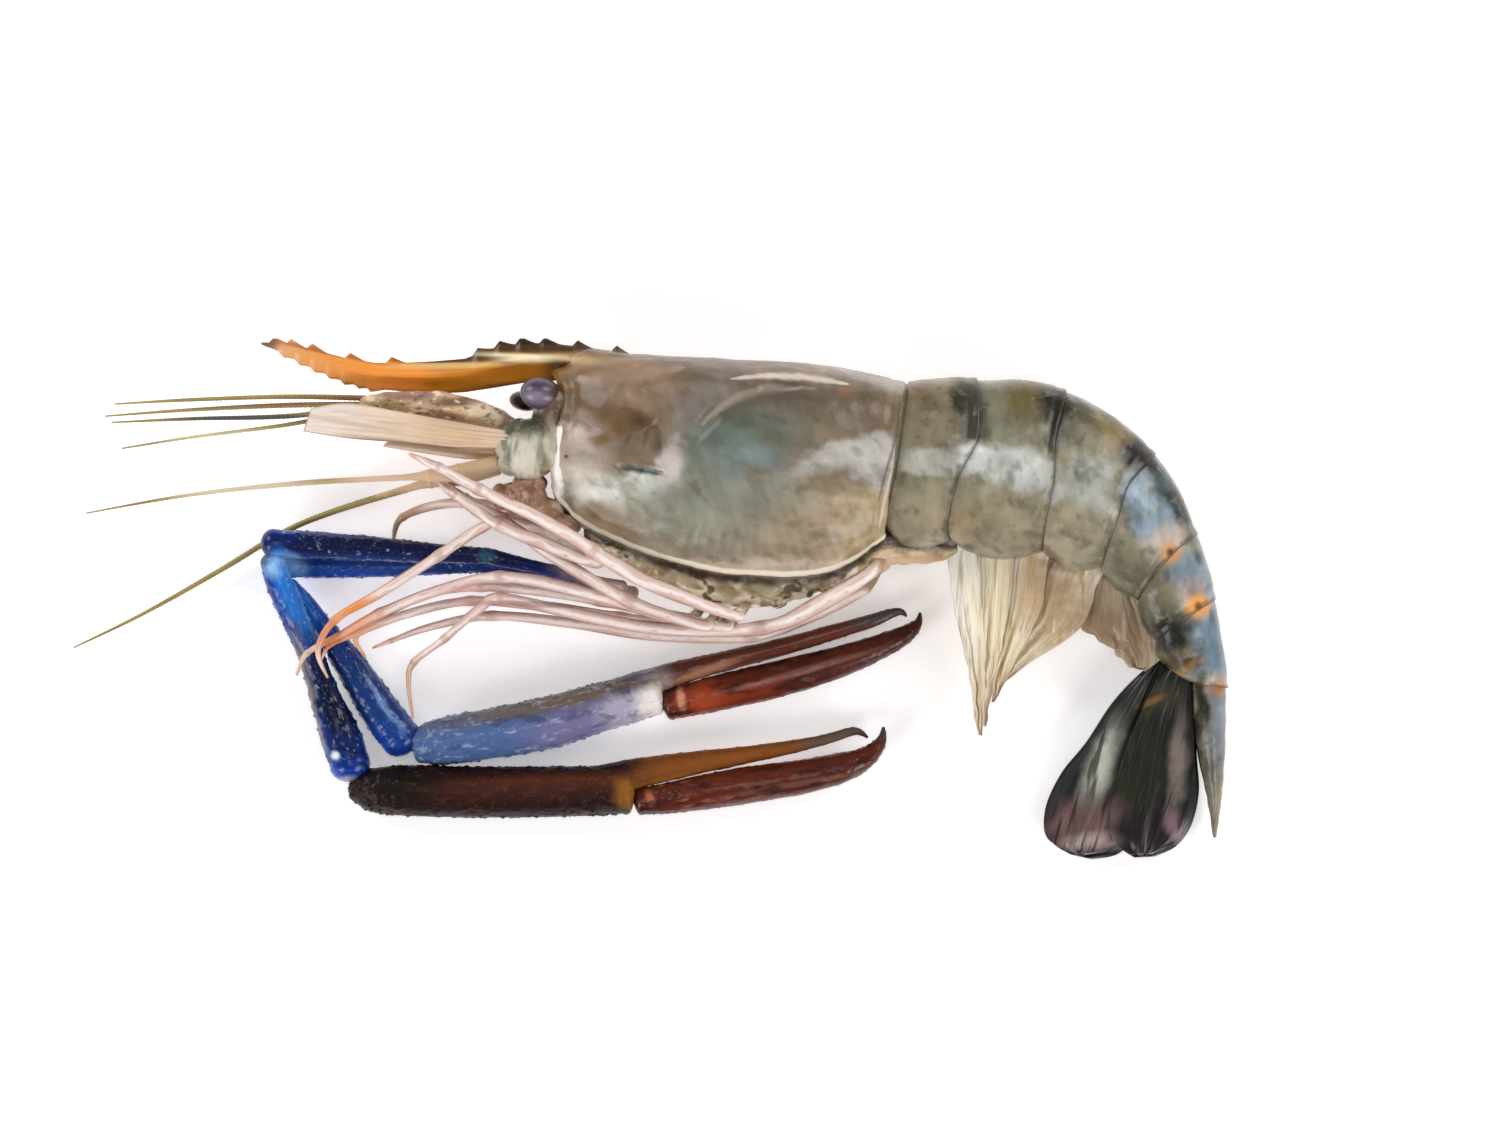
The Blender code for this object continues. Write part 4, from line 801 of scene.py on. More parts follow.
# Soft lamps: name, place, width and depth in metres, power in watts.
LAMPS = (
    ("overhead softbox", (0.02, 0.03, 1.3), (0.42, 0.3), 1.4),
    ("rear left softbox", (-1.3, 1.1, 1.0), (0.9, 0.9), 17.5),
    ("rear right softbox", (1.3, 1.1, 1.0), (0.9, 0.9), 17.5),
    ("front left softbox", (-1.3, -1.1, 1.0), (0.9, 0.9), 17.5),
    ("front right softbox", (1.3, -1.1, 1.0), (0.9, 0.9), 17.5),
)


# Colour and paint

def linear(code):
    """The linear colour of an sRGB hex value."""
    parts = [int(code[i:i + 2], 16) / 255 for i in (1, 3, 5)]
    return tuple(c / 12.92 if c <= 0.04045 else ((c + 0.055) / 1.055) ** 2.4 for c in parts)


def opaque(colour):
    """The colour with full cover, from a hex value or from three linear numbers."""
    return (*(linear(colour) if isinstance(colour, str) else colour), 1.0)


def add_node(tree, kind, settings=None, inputs=None):
    """A node of that kind with its settings, and its inputs set to a value or linked."""
    node = tree.nodes.new(kind)
    for key, value in (settings or {}).items():
        setattr(node, key, value)
    for key, value in (inputs or {}).items():
        if isinstance(value, bpy.types.NodeSocket):
            tree.links.new(value, node.inputs[key])
        else:
            node.inputs[key].default_value = value
    return node


class Paint:
    """A shell or flesh coloured in layers, one over the other, measured in millimetres.
    Its wide blots wander by up to about wander from their place, in waves of wander_size."""

    def __init__(self, name, colour, wander, wander_size=7.0):
        self.material = bpy.data.materials.new(name)
        self.material.use_nodes = True
        tree = self.tree = self.material.node_tree
        self.shader = tree.nodes["Principled BSDF"]
        place = add_node(tree, "ShaderNodeTexCoord").outputs["Object"]
        to_mm = {"operation": "SCALE"}
        self.place = add_node(tree, "ShaderNodeVectorMath", to_mm, {0: place, "Scale": 1 / MM}).outputs[0]
        size = {"Vector": self.place, "Scale": 1 / wander_size, "Detail": 4.0}
        stir = add_node(tree, "ShaderNodeTexNoise", {}, size).outputs["Color"]
        middle = add_node(tree, "ShaderNodeVectorMath", {"operation": "SUBTRACT"}, {0: stir, 1: (0.5,) * 3})
        drift = {0: middle.outputs[0], 1: (wander * 4,) * 3, 2: self.place}
        self.loose = add_node(tree, "ShaderNodeVectorMath", {"operation": "MULTIPLY_ADD"}, drift).outputs[0]
        self.colour = opaque(colour)
        self.heights = []
        size = {"Vector": self.place, "Scale": RAGGED_WAVES, "Detail": 5.0}
        torn = add_node(tree, "ShaderNodeTexNoise", {}, size)
        centre = {0: torn.outputs["Fac"], 1: 2 * RAGGED_REACH, 2: -RAGGED_REACH}
        self.ragged = add_node(tree, "ShaderNodeMath", {"operation": "MULTIPLY_ADD"}, centre).outputs[0]

    def mark(self, name, torn=0.0):
        """A number that the mesh keeps at each of its points, made uneven where torn isn't nought."""
        kept = add_node(self.tree, "ShaderNodeAttribute", {"attribute_name": name}).outputs["Fac"]
        if not torn:
            return kept
        inputs = {0: self.ragged, 1: torn, 2: kept}
        return add_node(self.tree, "ShaderNodeMath", {"operation": "MULTIPLY_ADD"}, inputs).outputs[0]

    def lay(self, colour, value, clear, full, strength=1.0):
        """Lays a colour over the paint, from none where value is clear to most where it is full."""
        limits = {"Value": value, "From Min": clear, "From Max": full, "To Max": strength}
        share = add_node(self.tree, "ShaderNodeMapRange", {"interpolation_type": "SMOOTHSTEP"}, limits)
        inputs = {0: share.outputs[0], 6: self.colour, 7: opaque(colour)}
        self.colour = add_node(self.tree, "ShaderNodeMix", {"data_type": "RGBA"}, inputs).outputs[2]

    def blots(self, table):
        """Lays soft-edged blots where the table has them, through both sides of the body: pigment, and
        in places painted highlight, reflection or shade.
        Wide blots wander from their place, narrow ones keep their line."""
        ball = {"gradient_type": "SPHERICAL"}
        for colour, x, y, length, width, turn, edge, strength in table:
            # A soft blot fades on past its size, so that half of it is left there.
            reach = 1 / (1 - edge / 2)
            where = {
                "Vector": self.loose if width > WIDE_BLOT else self.place, "Location": (x, y, PLANE),
                "Rotation": (0, 0, math.radians(turn)),
                "Scale": (length * reach, width * reach, BLOT_DEPTH),
            }
            near = add_node(self.tree, "ShaderNodeMapping", {"vector_type": "TEXTURE"}, where)
            fade = add_node(self.tree, "ShaderNodeTexGradient", ball, {"Vector": near.outputs[0]})
            inputs = {0: self.ragged, 1: fade.outputs["Fac"], 2: fade.outputs["Fac"]}
            torn = add_node(self.tree, "ShaderNodeMath", {"operation": "MULTIPLY_ADD"}, inputs)
            self.lay(colour, torn.outputs[0], 0.02, edge, strength)

    def grain(self, size, stretch=(1, 1, 1), turn=0.0, detail=3.0):
        """Smooth random values from 0 to 1 with features of that size, stretched along some axes."""
        spread = {
            "Vector": self.place, "Rotation": (0, 0, math.radians(turn)),
            "Scale": tuple(size * s for s in stretch),
        }
        near = add_node(self.tree, "ShaderNodeMapping", {"vector_type": "TEXTURE"}, spread)
        inputs = {"Vector": near.outputs[0], "Scale": 1.0, "Detail": detail}
        return add_node(self.tree, "ShaderNodeTexNoise", {}, inputs).outputs["Fac"]

    def dots(self, spacing):
        """Distance from the nearest of many scattered dots, as a share of their spacing."""
        inputs = {"Vector": self.place, "Scale": 1 / spacing}
        return add_node(self.tree, "ShaderNodeTexVoronoi", {}, inputs).outputs["Distance"]

    def shade(self, value, low, high):
        """Makes the paint darker or lighter, by factors from low to high, where value is 0 and 1."""
        limits = {"Value": value, "From Min": 0.25, "From Max": 0.75, "To Min": low, "To Max": high}
        factor = add_node(self.tree, "ShaderNodeMapRange", {}, limits).outputs[0]
        plain = isinstance(self.colour, tuple)
        inputs = {0: self.colour[:3] if plain else self.colour, "Scale": factor}
        self.colour = add_node(self.tree, "ShaderNodeVectorMath", {"operation": "SCALE"}, inputs).outputs[0]

    def emboss(self, value, depth):
        """Presses value into the surface, depth millimetres high where it is 1."""
        self.heights.append((value, depth))

    def finish(self, roughness, surface, uneven=0.06):
        """Joins the paint to the shader. Surface holds the values that are the same all over, and
        the roughness wanders by uneven either way."""
        inputs = self.shader.inputs
        if isinstance(self.colour, tuple):
            inputs["Base Color"].default_value = self.colour
        else:
            self.tree.links.new(self.colour, inputs["Base Color"])
        limits = {"Value": self.grain(1.6), "To Min": roughness - uneven, "To Max": roughness + uneven}
        rough = add_node(self.tree, "ShaderNodeMapRange", {}, limits)
        self.tree.links.new(rough.outputs[0], inputs["Roughness"])
        for key, value in surface.items():
            inputs[key].default_value = value
        bent = None
        for value, depth in self.heights:
            pressed = {"Height": value, "Distance": depth * MM, "Strength": 1.0}
            if bent:
                pressed["Normal"] = bent
            bent = add_node(self.tree, "ShaderNodeBump", {}, pressed).outputs[0]
        if bent:
            self.tree.links.new(bent, inputs["Normal"])
        return self.material


# Chitin shell, grown under the old one and hardened after the moult, wet. Its own face is satin, and
# the uneven film of water on it, of IOR 1.33, gives soft broken highlights.
WET_SHELL = {
    "IOR": 1.5, "Specular IOR Level": 0.25, "Coat Weight": 0.35, "Coat Roughness": 0.16, "Coat IOR": 1.33,
}
# The same chitin, thick and hardened with lime, as on claws: it is smoother, so it shines sharper.
HARD_SHELL = {**WET_SHELL, "Coat Roughness": 0.12}
# Hard chitin under short hairs that drink the water up: no film lies over it, so it looks dull.
FURRED_SHELL = {"IOR": 1.5, "Specular IOR Level": 0.2, "Coat Weight": 0.0}
# The cornea is clear and smooth, but has dried a little, so its shine is spread.
CORNEA = {"IOR": 1.38, "Coat Weight": 0.5, "Coat Roughness": 0.22, "Coat IOR": 1.33}
# Thin chitin leaves and raw flesh, wet: light goes in and comes out softened beside its way in.
WET_FLESH = {
    "IOR": 1.40, "Coat Weight": 0.5, "Coat Roughness": 0.1, "Coat IOR": 1.33,
    "Subsurface Weight": 0.25, "Subsurface Scale": 0.0012, "Subsurface Radius": (1.0, 0.7, 0.5),
}


# Shapes

def smooth_rows(rows, places):
    """The rows of numbers at places, from 0 to 1, on the smooth curve through the given rows."""
    rows = np.asarray(rows, float)
    spans = len(rows) - 1
    reach = np.clip(np.asarray(places, float), 0.0, 1.0) * spans
    k = np.minimum(reach.astype(int), spans - 1)
    t = (reach - k)[:, None]
    before, start = rows[np.maximum(k - 1, 0)], rows[k]
    end, after = rows[k + 1], rows[np.minimum(k + 2, spans)]
    bend = 2 * before - 5 * start + 4 * end - after
    rest = 3 * start - before - 3 * end + after
    return 0.5 * (2 * start + (end - before) * t + bend * t * t + rest * t ** 3)


def bell(values, middle, width):
    """One where a value is at the middle, fading to nought at about twice the width from it."""
    return np.exp(-((values - middle) / width) ** 2)


def ramp(values, start, end):
    """Nought up to the start, one from the end on, and a straight slope between. Either may be larger."""
    return np.clip((values - start) / (end - start), 0, 1)


def ribbed(values, waves):
    """From nought to one and back, in that many half waves."""
    return 0.5 + 0.5 * np.sin(values * math.pi * waves)


def bumps(points, size, seed=0.0):
    """Smooth random heights from -1 to 1 with features of that size."""
    moved = np.asarray(points, float) / size + seed
    return np.array([noise.noise(tuple(p)) for p in moved])


def near_line(points, line, taper=0.0):
    """Distance of points, seen from above, to a line of x, y places smoothed into a curve.
    With a taper it grows faster near the line's ends, so that what is drawn by it thins out there."""
    path = smooth_rows(line, np.linspace(0, 1, 12 * (len(line) - 1) + 1))
    best = np.full(len(points), 1e9)
    for number, (start, end) in enumerate(zip(path, path[1:])):
        run = end - start
        t = np.clip(((points[:, :2] - start) @ run) / (run @ run), 0, 1)
        away = np.linalg.norm(points[:, :2] - start - t[:, None] * run, axis=1)
        if taper:
            away /= np.clip(np.sin(math.pi * (number + t) / (len(path) - 1)), 0.02, 1) ** taper
        best = np.minimum(best, away)
    return best


def body_mesh(name, rings, marks=None):
    """A closed body through rings of points, with a middle point closing each end.
    Marks are numbers kept at each ring point for the paint to read."""
    rings = np.asarray(rings, float)
    count, sides, _ = rings.shape
    points = np.concatenate([rings.reshape(-1, 3), rings[:1].mean(1), rings[-1:].mean(1)])
    row, column = np.meshgrid(np.arange(count - 1), np.arange(sides), indexing="ij")
    step = (column + 1) % sides
    quads = np.stack([row * sides + column, row * sides + step, (row + 1) * sides + step,
                      (row + 1) * sides + column], -1).reshape(-1, 4).tolist()
    first, last = count * sides, count * sides + 1
    end = (count - 1) * sides
    for i in range(sides):
        j = (i + 1) % sides
        quads.append((first, j, i))
        quads.append((last, end + i, end + j))
    mesh = bpy.data.meshes.new(name)
    mesh.from_pydata((points * MM).tolist(), [], quads)
    for key, values in (marks or {}).items():
        values = np.broadcast_to(np.asarray(values, float), (count, sides))
        add_mark(mesh, key, np.concatenate([values.ravel(), values[:1].mean(1), values[-1:].mean(1)]))
    turn_outwards(mesh)
    return mesh


def turn_outwards(mesh):
    """Makes all faces look outwards and shades them smooth."""
    shape = bmesh.new()
    shape.from_mesh(mesh)
    bmesh.ops.recalc_face_normals(shape, faces=shape.faces)
    shape.to_mesh(mesh)
    shape.free()
    mesh.shade_smooth()


def read_points(mesh, field="co"):
    """The mesh's points in millimetres, or their normals."""
    values = np.zeros(len(mesh.vertices) * 3, np.float32)
    mesh.vertices.foreach_get(field, values)
    values = values.reshape(-1, 3).astype(float)
    return values / MM if field == "co" else values


def read_mark(mesh, key):
    """The numbers that the mesh keeps under that name."""
    values = np.zeros(len(mesh.vertices), np.float32)
    mesh.attributes[key].data.foreach_get("value", values)
    return values.astype(float)


def add_mark(mesh, key, values):
    """Keeps a number at each point of the mesh for the paint to read."""
    mesh.attributes.new(key, "FLOAT", "POINT").data.foreach_set("value", np.asarray(values, np.float32))


def raise_by(mesh, heights):
    """Moves each point along its normal by its height."""
    write_points(mesh, read_points(mesh) + read_points(mesh, "normal") * np.asarray(heights)[:, None])


def write_points(mesh, points):
    """Sets the mesh's points, in millimetres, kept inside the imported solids' box."""
    mesh.vertices.foreach_set("co", (np.clip(points, LOW, HIGH) * MM).astype(np.float32).ravel())
    mesh.update()


def point_tree(points):
    """The points in a tree that finds the nearest of them."""
    tree = kdtree.KDTree(len(points))
    for number, point in enumerate(points):
        tree.insert(tuple(point), number)
    tree.balance()
    return tree


def spiny(points, spacing, reach, height, seed):
    """Heights of many small spines, one in each cell of a grid of that spacing, strayed from it."""
    steps = np.concatenate([np.zeros((1, 3), int), np.eye(3, dtype=int), -np.eye(3, dtype=int)])
    cells = np.unique(np.floor(points / spacing).astype(int), axis=0)
    cells = np.unique((cells[:, None] + steps).reshape(-1, 3), axis=0)
    strays = np.array([noise.cell_vector(tuple(float(c) + seed for c in cell)) for cell in cells])
    tree = point_tree((cells + strays) * spacing)
    away = np.array([tree.find(tuple(point))[2] for point in points])
    return height * np.clip(1 - away / reach, 0, 1) ** HOLLOW_FLANK


def hoop_turn(sides):
    """The angles of a ring's points. Their sine is 1 at the back and -1 at the belly."""
    return math.tau * (np.arange(sides) + 0.5) / sides


def hoop(edge, half_width, plane, sides, swell=0.0, belly=HOOP_SQUARENESS):
    """One ring round the body. Edge is its line from back to belly, seen from above."""
    turn = hoop_turn(sides)
    squareness = HOOP_SQUARENESS + (belly - HOOP_SQUARENESS) * np.clip(-np.sin(turn), 0, 1)
    across = np.copysign(np.abs(np.cos(turn)) ** squareness, np.cos(turn))
    line = smooth_rows(edge, (1 - np.sin(turn)) / 2)
    middle = smooth_rows(edge, [0.5])[0]
    line = line + (line - middle) * swell
    z = plane + half_width * (1 + swell) * across
    return np.column_stack([line, np.maximum(z, 0.0)])


def limb_rings(rows, count, sides, girth=None, cap=1.0):
    """Rings round a limb through rows of x, y, z, radius, with its ends rounded off. Girth gives
    factors for the radius from the places along the limb. Cap is the length of an end's dome as a
    share of the radius there."""
    places = np.linspace(0, 1, count)
    line = smooth_rows(rows, places)
    centres, radii = line[:, :3], line[:, 3].copy()
    if girth:
        radii *= girth(centres, places)
    runs = np.gradient(centres, axis=0)
    runs /= np.linalg.norm(runs, axis=1)[:, None]
    # Each end gets a dome: the same values again, moved on and shrunk.
    spread = np.concatenate([np.zeros(len(DOME), int), np.arange(count), np.full(len(DOME), count - 1)])
    lean = np.concatenate([-DOME[::-1], np.zeros(count), DOME])
    places, runs, radii = places[spread], runs[spread], radii[spread]
    centres = centres[spread] + (np.sin(lean) * radii * cap)[:, None] * runs
    side = np.cross(runs, (0.0, 0.0, 1.0))
    side /= np.linalg.norm(side, axis=1)[:, None]
    up = np.cross(side, runs)
    turn = math.tau * np.arange(sides) / sides
    ring = np.cos(turn)[None, :, None] * side[:, None] + np.sin(turn)[None, :, None] * up[:, None]
    rings = centres[:, None] + (radii * np.cos(lean))[:, None, None] * ring
    rings[..., 2] = np.maximum(rings[..., 2], OFF_TABLE)
    around = np.broadcast_to(turn / math.tau, (len(places), sides))
    return rings, {"along": np.repeat(places[:, None], sides, 1), "around": around}


def leaf_rings(edges, rows, columns, height, thickness):
    """Rings round a thin leaf between two edges. Height gives its middle from along and across."""
    places = np.linspace(0, 1, rows)
    first, second = (smooth_rows(edge, places) for edge in edges)
    shares = (1 - np.cos(np.linspace(0, math.pi, columns))) / 2
    flat = first[:, None] + (second - first)[:, None] * shares[None, :, None]
    along, across = np.meshgrid(places, shares, indexing="ij")
    middle = height(along, across)
    wall = thickness / 2 * np.sqrt(np.clip(1 - (2 * across - 1) ** 4, 0.02, 1))
    wall *= 1 - (1 - LEAF_TIP) * along

    def both_sides(top, bottom):
        """Values over the leaf's top and then back along its bottom."""
        return np.concatenate([top, bottom[:, ::-1][:, 1:-1]], 1)

    rings = both_sides(np.dstack([flat, middle + wall]), np.dstack([flat, middle - wall]))
    rings[..., 2] = np.maximum(rings[..., 2], OFF_TABLE)
    return rings, {"along": both_sides(along, along), "across": both_sides(across, across)}


def dress(name, mesh, material, slot, *nodes):
    """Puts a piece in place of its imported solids, riding with the body."""
    write_points(mesh, read_points(mesh))
    piece = hold(name, mesh)
    mesh.materials.clear()
    mesh.materials.append(material)
    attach(piece, "root")
    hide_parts(*nodes)
    return piece


def hold(name, mesh):
    """An object in the scene that holds the mesh."""
    holder = bpy.data.objects.new(name, mesh)
    bpy.context.scene.collection.objects.link(holder)
    return holder


def as_evaluated(holder):
    """The mesh of the object after its modifiers. The object itself is removed."""
    bpy.context.view_layer.update()
    seen = holder.evaluated_get(bpy.context.evaluated_depsgraph_get())
    made = bpy.data.meshes.new_from_object(seen)
    bpy.data.objects.remove(holder)
    made.shade_smooth()
    return made


def weld(name, meshes, voxel):
    """One closed skin round several overlapping bodies, remade from voxels and smoothed."""
    shape = bmesh.new()
    for mesh in meshes:
        shape.from_mesh(mesh)
    whole = bpy.data.meshes.new(name)
    shape.to_mesh(whole)
    shape.free()
    holder = hold(name, whole)
    change = holder.modifiers.new("weld", "REMESH")
    change.mode = "VOXEL"
    change.voxel_size = voxel * MM
    settle = holder.modifiers.new("settle", "SMOOTH")
    settle.iterations = 3
    settle.factor = 0.5
    return as_evaluated(holder)


def unite(name, first, second):
    """Two closed bodies joined into one, with no faces left inside and their marks kept."""
    holder, other = hold(name, first), hold(name, second)
    change = holder.modifiers.new("join", "BOOLEAN")
    change.operation = "UNION"
    change.solver = "EXACT"
    change.object = other
    made = as_evaluated(holder)
    bpy.data.objects.remove(other)
    keep_marks(made, (first, second))
    return made


def keep_marks(made, sources):
    """Gives each point of a remade body the marks of the nearest point it was made from."""
    tree = point_tree(np.concatenate([read_points(mesh) for mesh in sources]))
    nearest = [tree.find(tuple(point))[1] for point in read_points(made)]
    for key in [mark.name for mark in sources[0].attributes if mark.data_type == "FLOAT"]:
        if key in made.attributes:
            made.attributes.remove(made.attributes[key])
        add_mark(made, key, np.concatenate([read_mark(mesh, key) for mesh in sources])[nearest])


# What a user may change

def colour_choice(name, description, code):
    """A colour property whose default is an sRGB hex value."""
    return FloatVectorProperty(
        name=name, description=description, subtype="COLOR", size=3, min=0.0, max=1.0, default=linear(code)
    )


def length_choice(name, description, millimetres, low, high):
    """A length property given in millimetres and kept in metres."""
    return FloatProperty(
        name=name, description=description, subtype="DISTANCE", unit="LENGTH", precision=5,
        default=millimetres * MM, min=low * MM, max=high * MM,
    )


class HeadSettings(bpy.types.PropertyGroup):
    """Colours and relief of the head shell and its beak."""

    shell: colour_choice("Shell", "Taupe of the upper head shell", "#7d6c58")
    beak: colour_choice("Beak", "Orange brown of the beak", "#b8681c")
    rim: colour_choice("Rim", "Cream of the shell's lower rim", "#ece2cc")
    fold: length_choice("Fold depth", "How deep the long fold on the side is", FOLD_DEPTH, 0.0, 1.5)
    wrinkle: length_choice("Wrinkle", "How high the shell's uneven swellings are", 0.3, 0.0, 1.0)


class FaceSettings(bpy.types.PropertyGroup):
    """Colours of the eyes, feeler bases and mouth."""

    eye: colour_choice("Eye", "Purple grey of the eye", "#4a3d4e")
    stalk: colour_choice("Stalk", "Brown of the eye's short stalk", "#5c3c28")
    base: colour_choice("Feeler base", "Cream of the swelling under the feelers", "#c4beaa")
    mouth: colour_choice("Mouth", "Brown pink of the mouth parts", "#a87e68")


class FeelerSettings(bpy.types.PropertyGroup):
    """Colours of the feelers and their scales, and the feelers' ringing."""

    whip: colour_choice("Whip", "Olive of the long feelers", "#9a8a4e")
    root: colour_choice("Root", "Tan of the short feelers' roots", "#dcb994")
    scale: colour_choice("Scale", "Pink cream of the flat scales", "#ecd9c6")
    ring: length_choice("Ring spacing", "Distance between the rings of a feeler", 1.0, 0.4, 3.0)


class TailSettings(bpy.types.PropertyGroup):
    """Colours and overlap of the tail's rings."""

    shell: colour_choice("Shell", "Grey olive of the tail rings", "#8a836c")
    fan: colour_choice("Fan", "Black green of the tail fan", "#161814")
    lap: length_choice("Overlap", "How far each ring runs under the one in front", 2.0, 0.3, 4.0)


class UnderSettings(bpy.types.PropertyGroup):
    """Colours of the flesh under the head shell and of the swimmerets."""

    flesh: colour_choice("Flesh", "Cream of the lumps that carry the legs", "#ddd2b6")
    # The gap colour is the skin's dark brown, and also stands as painted shade between the lumps.
    gap: colour_choice("Gaps", "Dark brown between the leg roots", "#4a3222")
    leaf: colour_choice("Swimmeret", "Cream of the swimmeret leaves", "#faeed4")


class ClawSettings(bpy.types.PropertyGroup):
    """Colours and spines of the long claws."""

    blue: colour_choice("Blue", "Deep blue of the arms", "#0d3c9e")
    navy: colour_choice("Navy", "Dark blue of the arms' backs", "#050c38")
    hand: colour_choice("Right hand", "Worn blue of the right hand", "#46629a")
    brown: colour_choice("Left hand", "Near black brown of the left hand", "#1c0a05")
    finger: colour_choice("Finger", "Maroon of the moving fingers", "#54200f")
    spine: length_choice("Spine height", "Height of the small spines", 0.5, 0.0, 0.9)


class LegSettings(bpy.types.PropertyGroup):
    """Colours of the walking legs."""

    shell: colour_choice("Shell", "Pale pink of the legs", "#dec1b4")
    tip: colour_choice("Tip", "Orange brown of the legs' ends", "#c98248")


class StageSettings(bpy.types.PropertyGroup):
    """Floor, light and camera."""

    floor: colour_choice("Floor", "Plain floor", "#fbf9f9")
    width: length_choice("View width", "Width of what the camera sees", 300.0, 100.0, 600.0)


class PrawnOperator:
    """What all the operators that build a part of the prawn share."""

    bl_options = {"REGISTER", "UNDO"}


class PRAWN_OT_head_shell(PrawnOperator, bpy.types.Operator):
    """Builds the head shell and its toothed beak"""

    bl_idname = "prawn.head_shell"
    bl_label = "Head Shell"

    def execute(self, context):
        look = context.scene.prawn_head
        shell = head_mesh(look.fold / MM, look.wrinkle / MM)
        whole = unite("head_shell", shell, beak_mesh())
        dress("head_shell", whole, head_paint(look), "head_shell", "carapace")
        return {"FINISHED"}


def head_plane(x):
    """Height of the head's plane of symmetry, which drops a little towards the tail."""
    share = max(0.0, (x - HEAD_PLANE_BENDS_AT) / (HEAD_HOOPS[-1][0] - HEAD_PLANE_BENDS_AT))
    return PLANE + (HEAD_REAR_PLANE - PLANE) * share


def crest_rise(x, back_y):
    """How far the beak's crest stands over the back, where it runs on over the shell and sinks in."""
    beak_x, beak_y = np.array(BEAK_STATIONS).T[:2]
    if x >= beak_x[-1]:
        return 0.0
    return max(0.0, np.interp(x, beak_x, beak_y) - back_y) * ramp(x, -35.0, -30.0)


def head_rings():
    """The bare head shell's rings from front to rear, and how far each point is from its lower edge."""
    rings, lower = [], []
    front_y, front_step = np.array(HEAD_FRONT).T
    places = np.linspace(0, 1, HEAD_RINGS)
    for share, row in zip(places, smooth_rows(HEAD_HOOPS, places)):
        back_x, back_y, belly_x, belly_y, half = row
        edge = ((back_x, back_y), (belly_x, belly_y))
        ring = hoop(edge, half, head_plane(back_x), HEAD_SIDES, belly=HEAD_BELLY_SQUARENESS)
        lower.append(ring[:, 1] - belly_y)
        down = (back_y - ring[:, 1]) / (back_y - belly_y)
        ring[:, 1] += crest_rise(back_x, back_y) * bell(down, 0, 0.02)
        # The front edge's outline dies away within the first few rings.
        ring[:, 0] += np.interp(ring[:, 1], front_y, front_step) * (1 - share) ** 6
        rings.append(ring)
    return np.array(rings), np.array(lower)


def gill_ribs(points):
    """The gills lie in rows under the shell's lower half and show through as soft ribs."""
    turn = np.arctan2(points[:, 0] - GILL_CENTRE[0], GILL_CENTRE[1] - points[:, 1])
    turn += 0.03 * bumps(points, 7.0, 2.0)
    zone = ramp(points[:, 1], -3.0, -10.0) * ramp(points[:, 0], -20.0, -12.0)
    zone *= np.clip(0.6 + 0.8 * bumps(points, 8.0, 9.0), 0, 1)
    return ribbed(turn, 2 * GILL_RADIUS / GILL_SPACING) * zone


def head_mesh(fold_depth, wrinkle):
    """The head shell without its beak: folds, swellings, a raised front rim and turned-in ends."""
    rings, lower = head_rings()
    front = rings[..., 0] - rings[0, :, 0]
    rear = rings[-1, :, 0] - rings[..., 0]
    for step, scale in SHELL_TUCKS:
        front_middle, rear_middle = rings[0].mean(0), rings[-1].mean(0)
        inner = front_middle + (rings[0] - front_middle) * scale + (step, 0, 0)
        outer = rear_middle + (rings[-1] - rear_middle) * scale - (step, 0, 0)
        rings = np.concatenate([inner[None], rings, outer[None]])
    tucked = len(SHELL_TUCKS)
    front, rear, lower = (np.pad(values, ((tucked,) * 2, (0, 0)), "edge") for values in (front, rear, lower))
    front[:tucked] = rear[-tucked:] = TURNED_IN
    mesh = body_mesh("head_shell", rings, {"front": front, "lower": lower, "rear": rear})
    points = read_points(mesh)
    front, lower, rear = (read_mark(mesh, key) for key in ("front", "lower", "rear"))
    # Relief fades out towards the back and belly, where both sides meet.
    side = ramp(np.abs(points[:, 2] - PLANE), 0, 6)
    rise = wrinkle * bumps(points, (9.0, 5.0, 9.0)) + 0.4 * wrinkle * bumps(points, 2.6, 4.0)
    for line, depth, width in HEAD_FOLDS:
        rise -= side * depth * fold_depth / FOLD_DEPTH * bell(near_line(points, line, 0.4), 0, width)
    # The shell is raised to a lip along its front and lower edges. A groove runs behind the front
    # lip, and one before the rear edge.
    rise += 0.35 * bell(front, 0.9, 0.7) + 0.3 * bell(lower, 1.6, 0.8) * side
    rise -= 0.35 * bell(front, 2.6, 0.8) * side + 0.2 * bell(rear, 2.2, 0.7)
    gills = gill_ribs(points)
    rise += 0.05 * gills * side
    add_mark(mesh, "gill", gills)
    across = ramp(points[:, 1], 9.5, 7.5) * ramp(points[:, 1], -11.0, -7.0)
    add_mark(mesh, "rim", across * ramp(front, 1.9, 1.3) * (front > -0.3))
    for number, (_, width, _, line) in enumerate(HEAD_LINES):
        add_mark(mesh, f"line {number}", near_line(points, line, 0.6) / width)
    rise[front < TURNED_IN / 2] = 0
    raise_by(mesh, rise)
    return mesh


def tooth_rise(x, teeth, height):
    """How far the teeth of an edge stand out at x. They lean forwards, steep in front."""
    rise = np.zeros(len(x))
    for tip in teeth:
        behind = ramp(x, tip + TOOTH_BACK, tip) ** HOLLOW_FLANK * (x >= tip)
        ahead = ramp(x, tip - TOOTH_FRONT, tip) * (x < tip)
        rise = np.maximum(rise, height * (behind + ahead))
    return rise


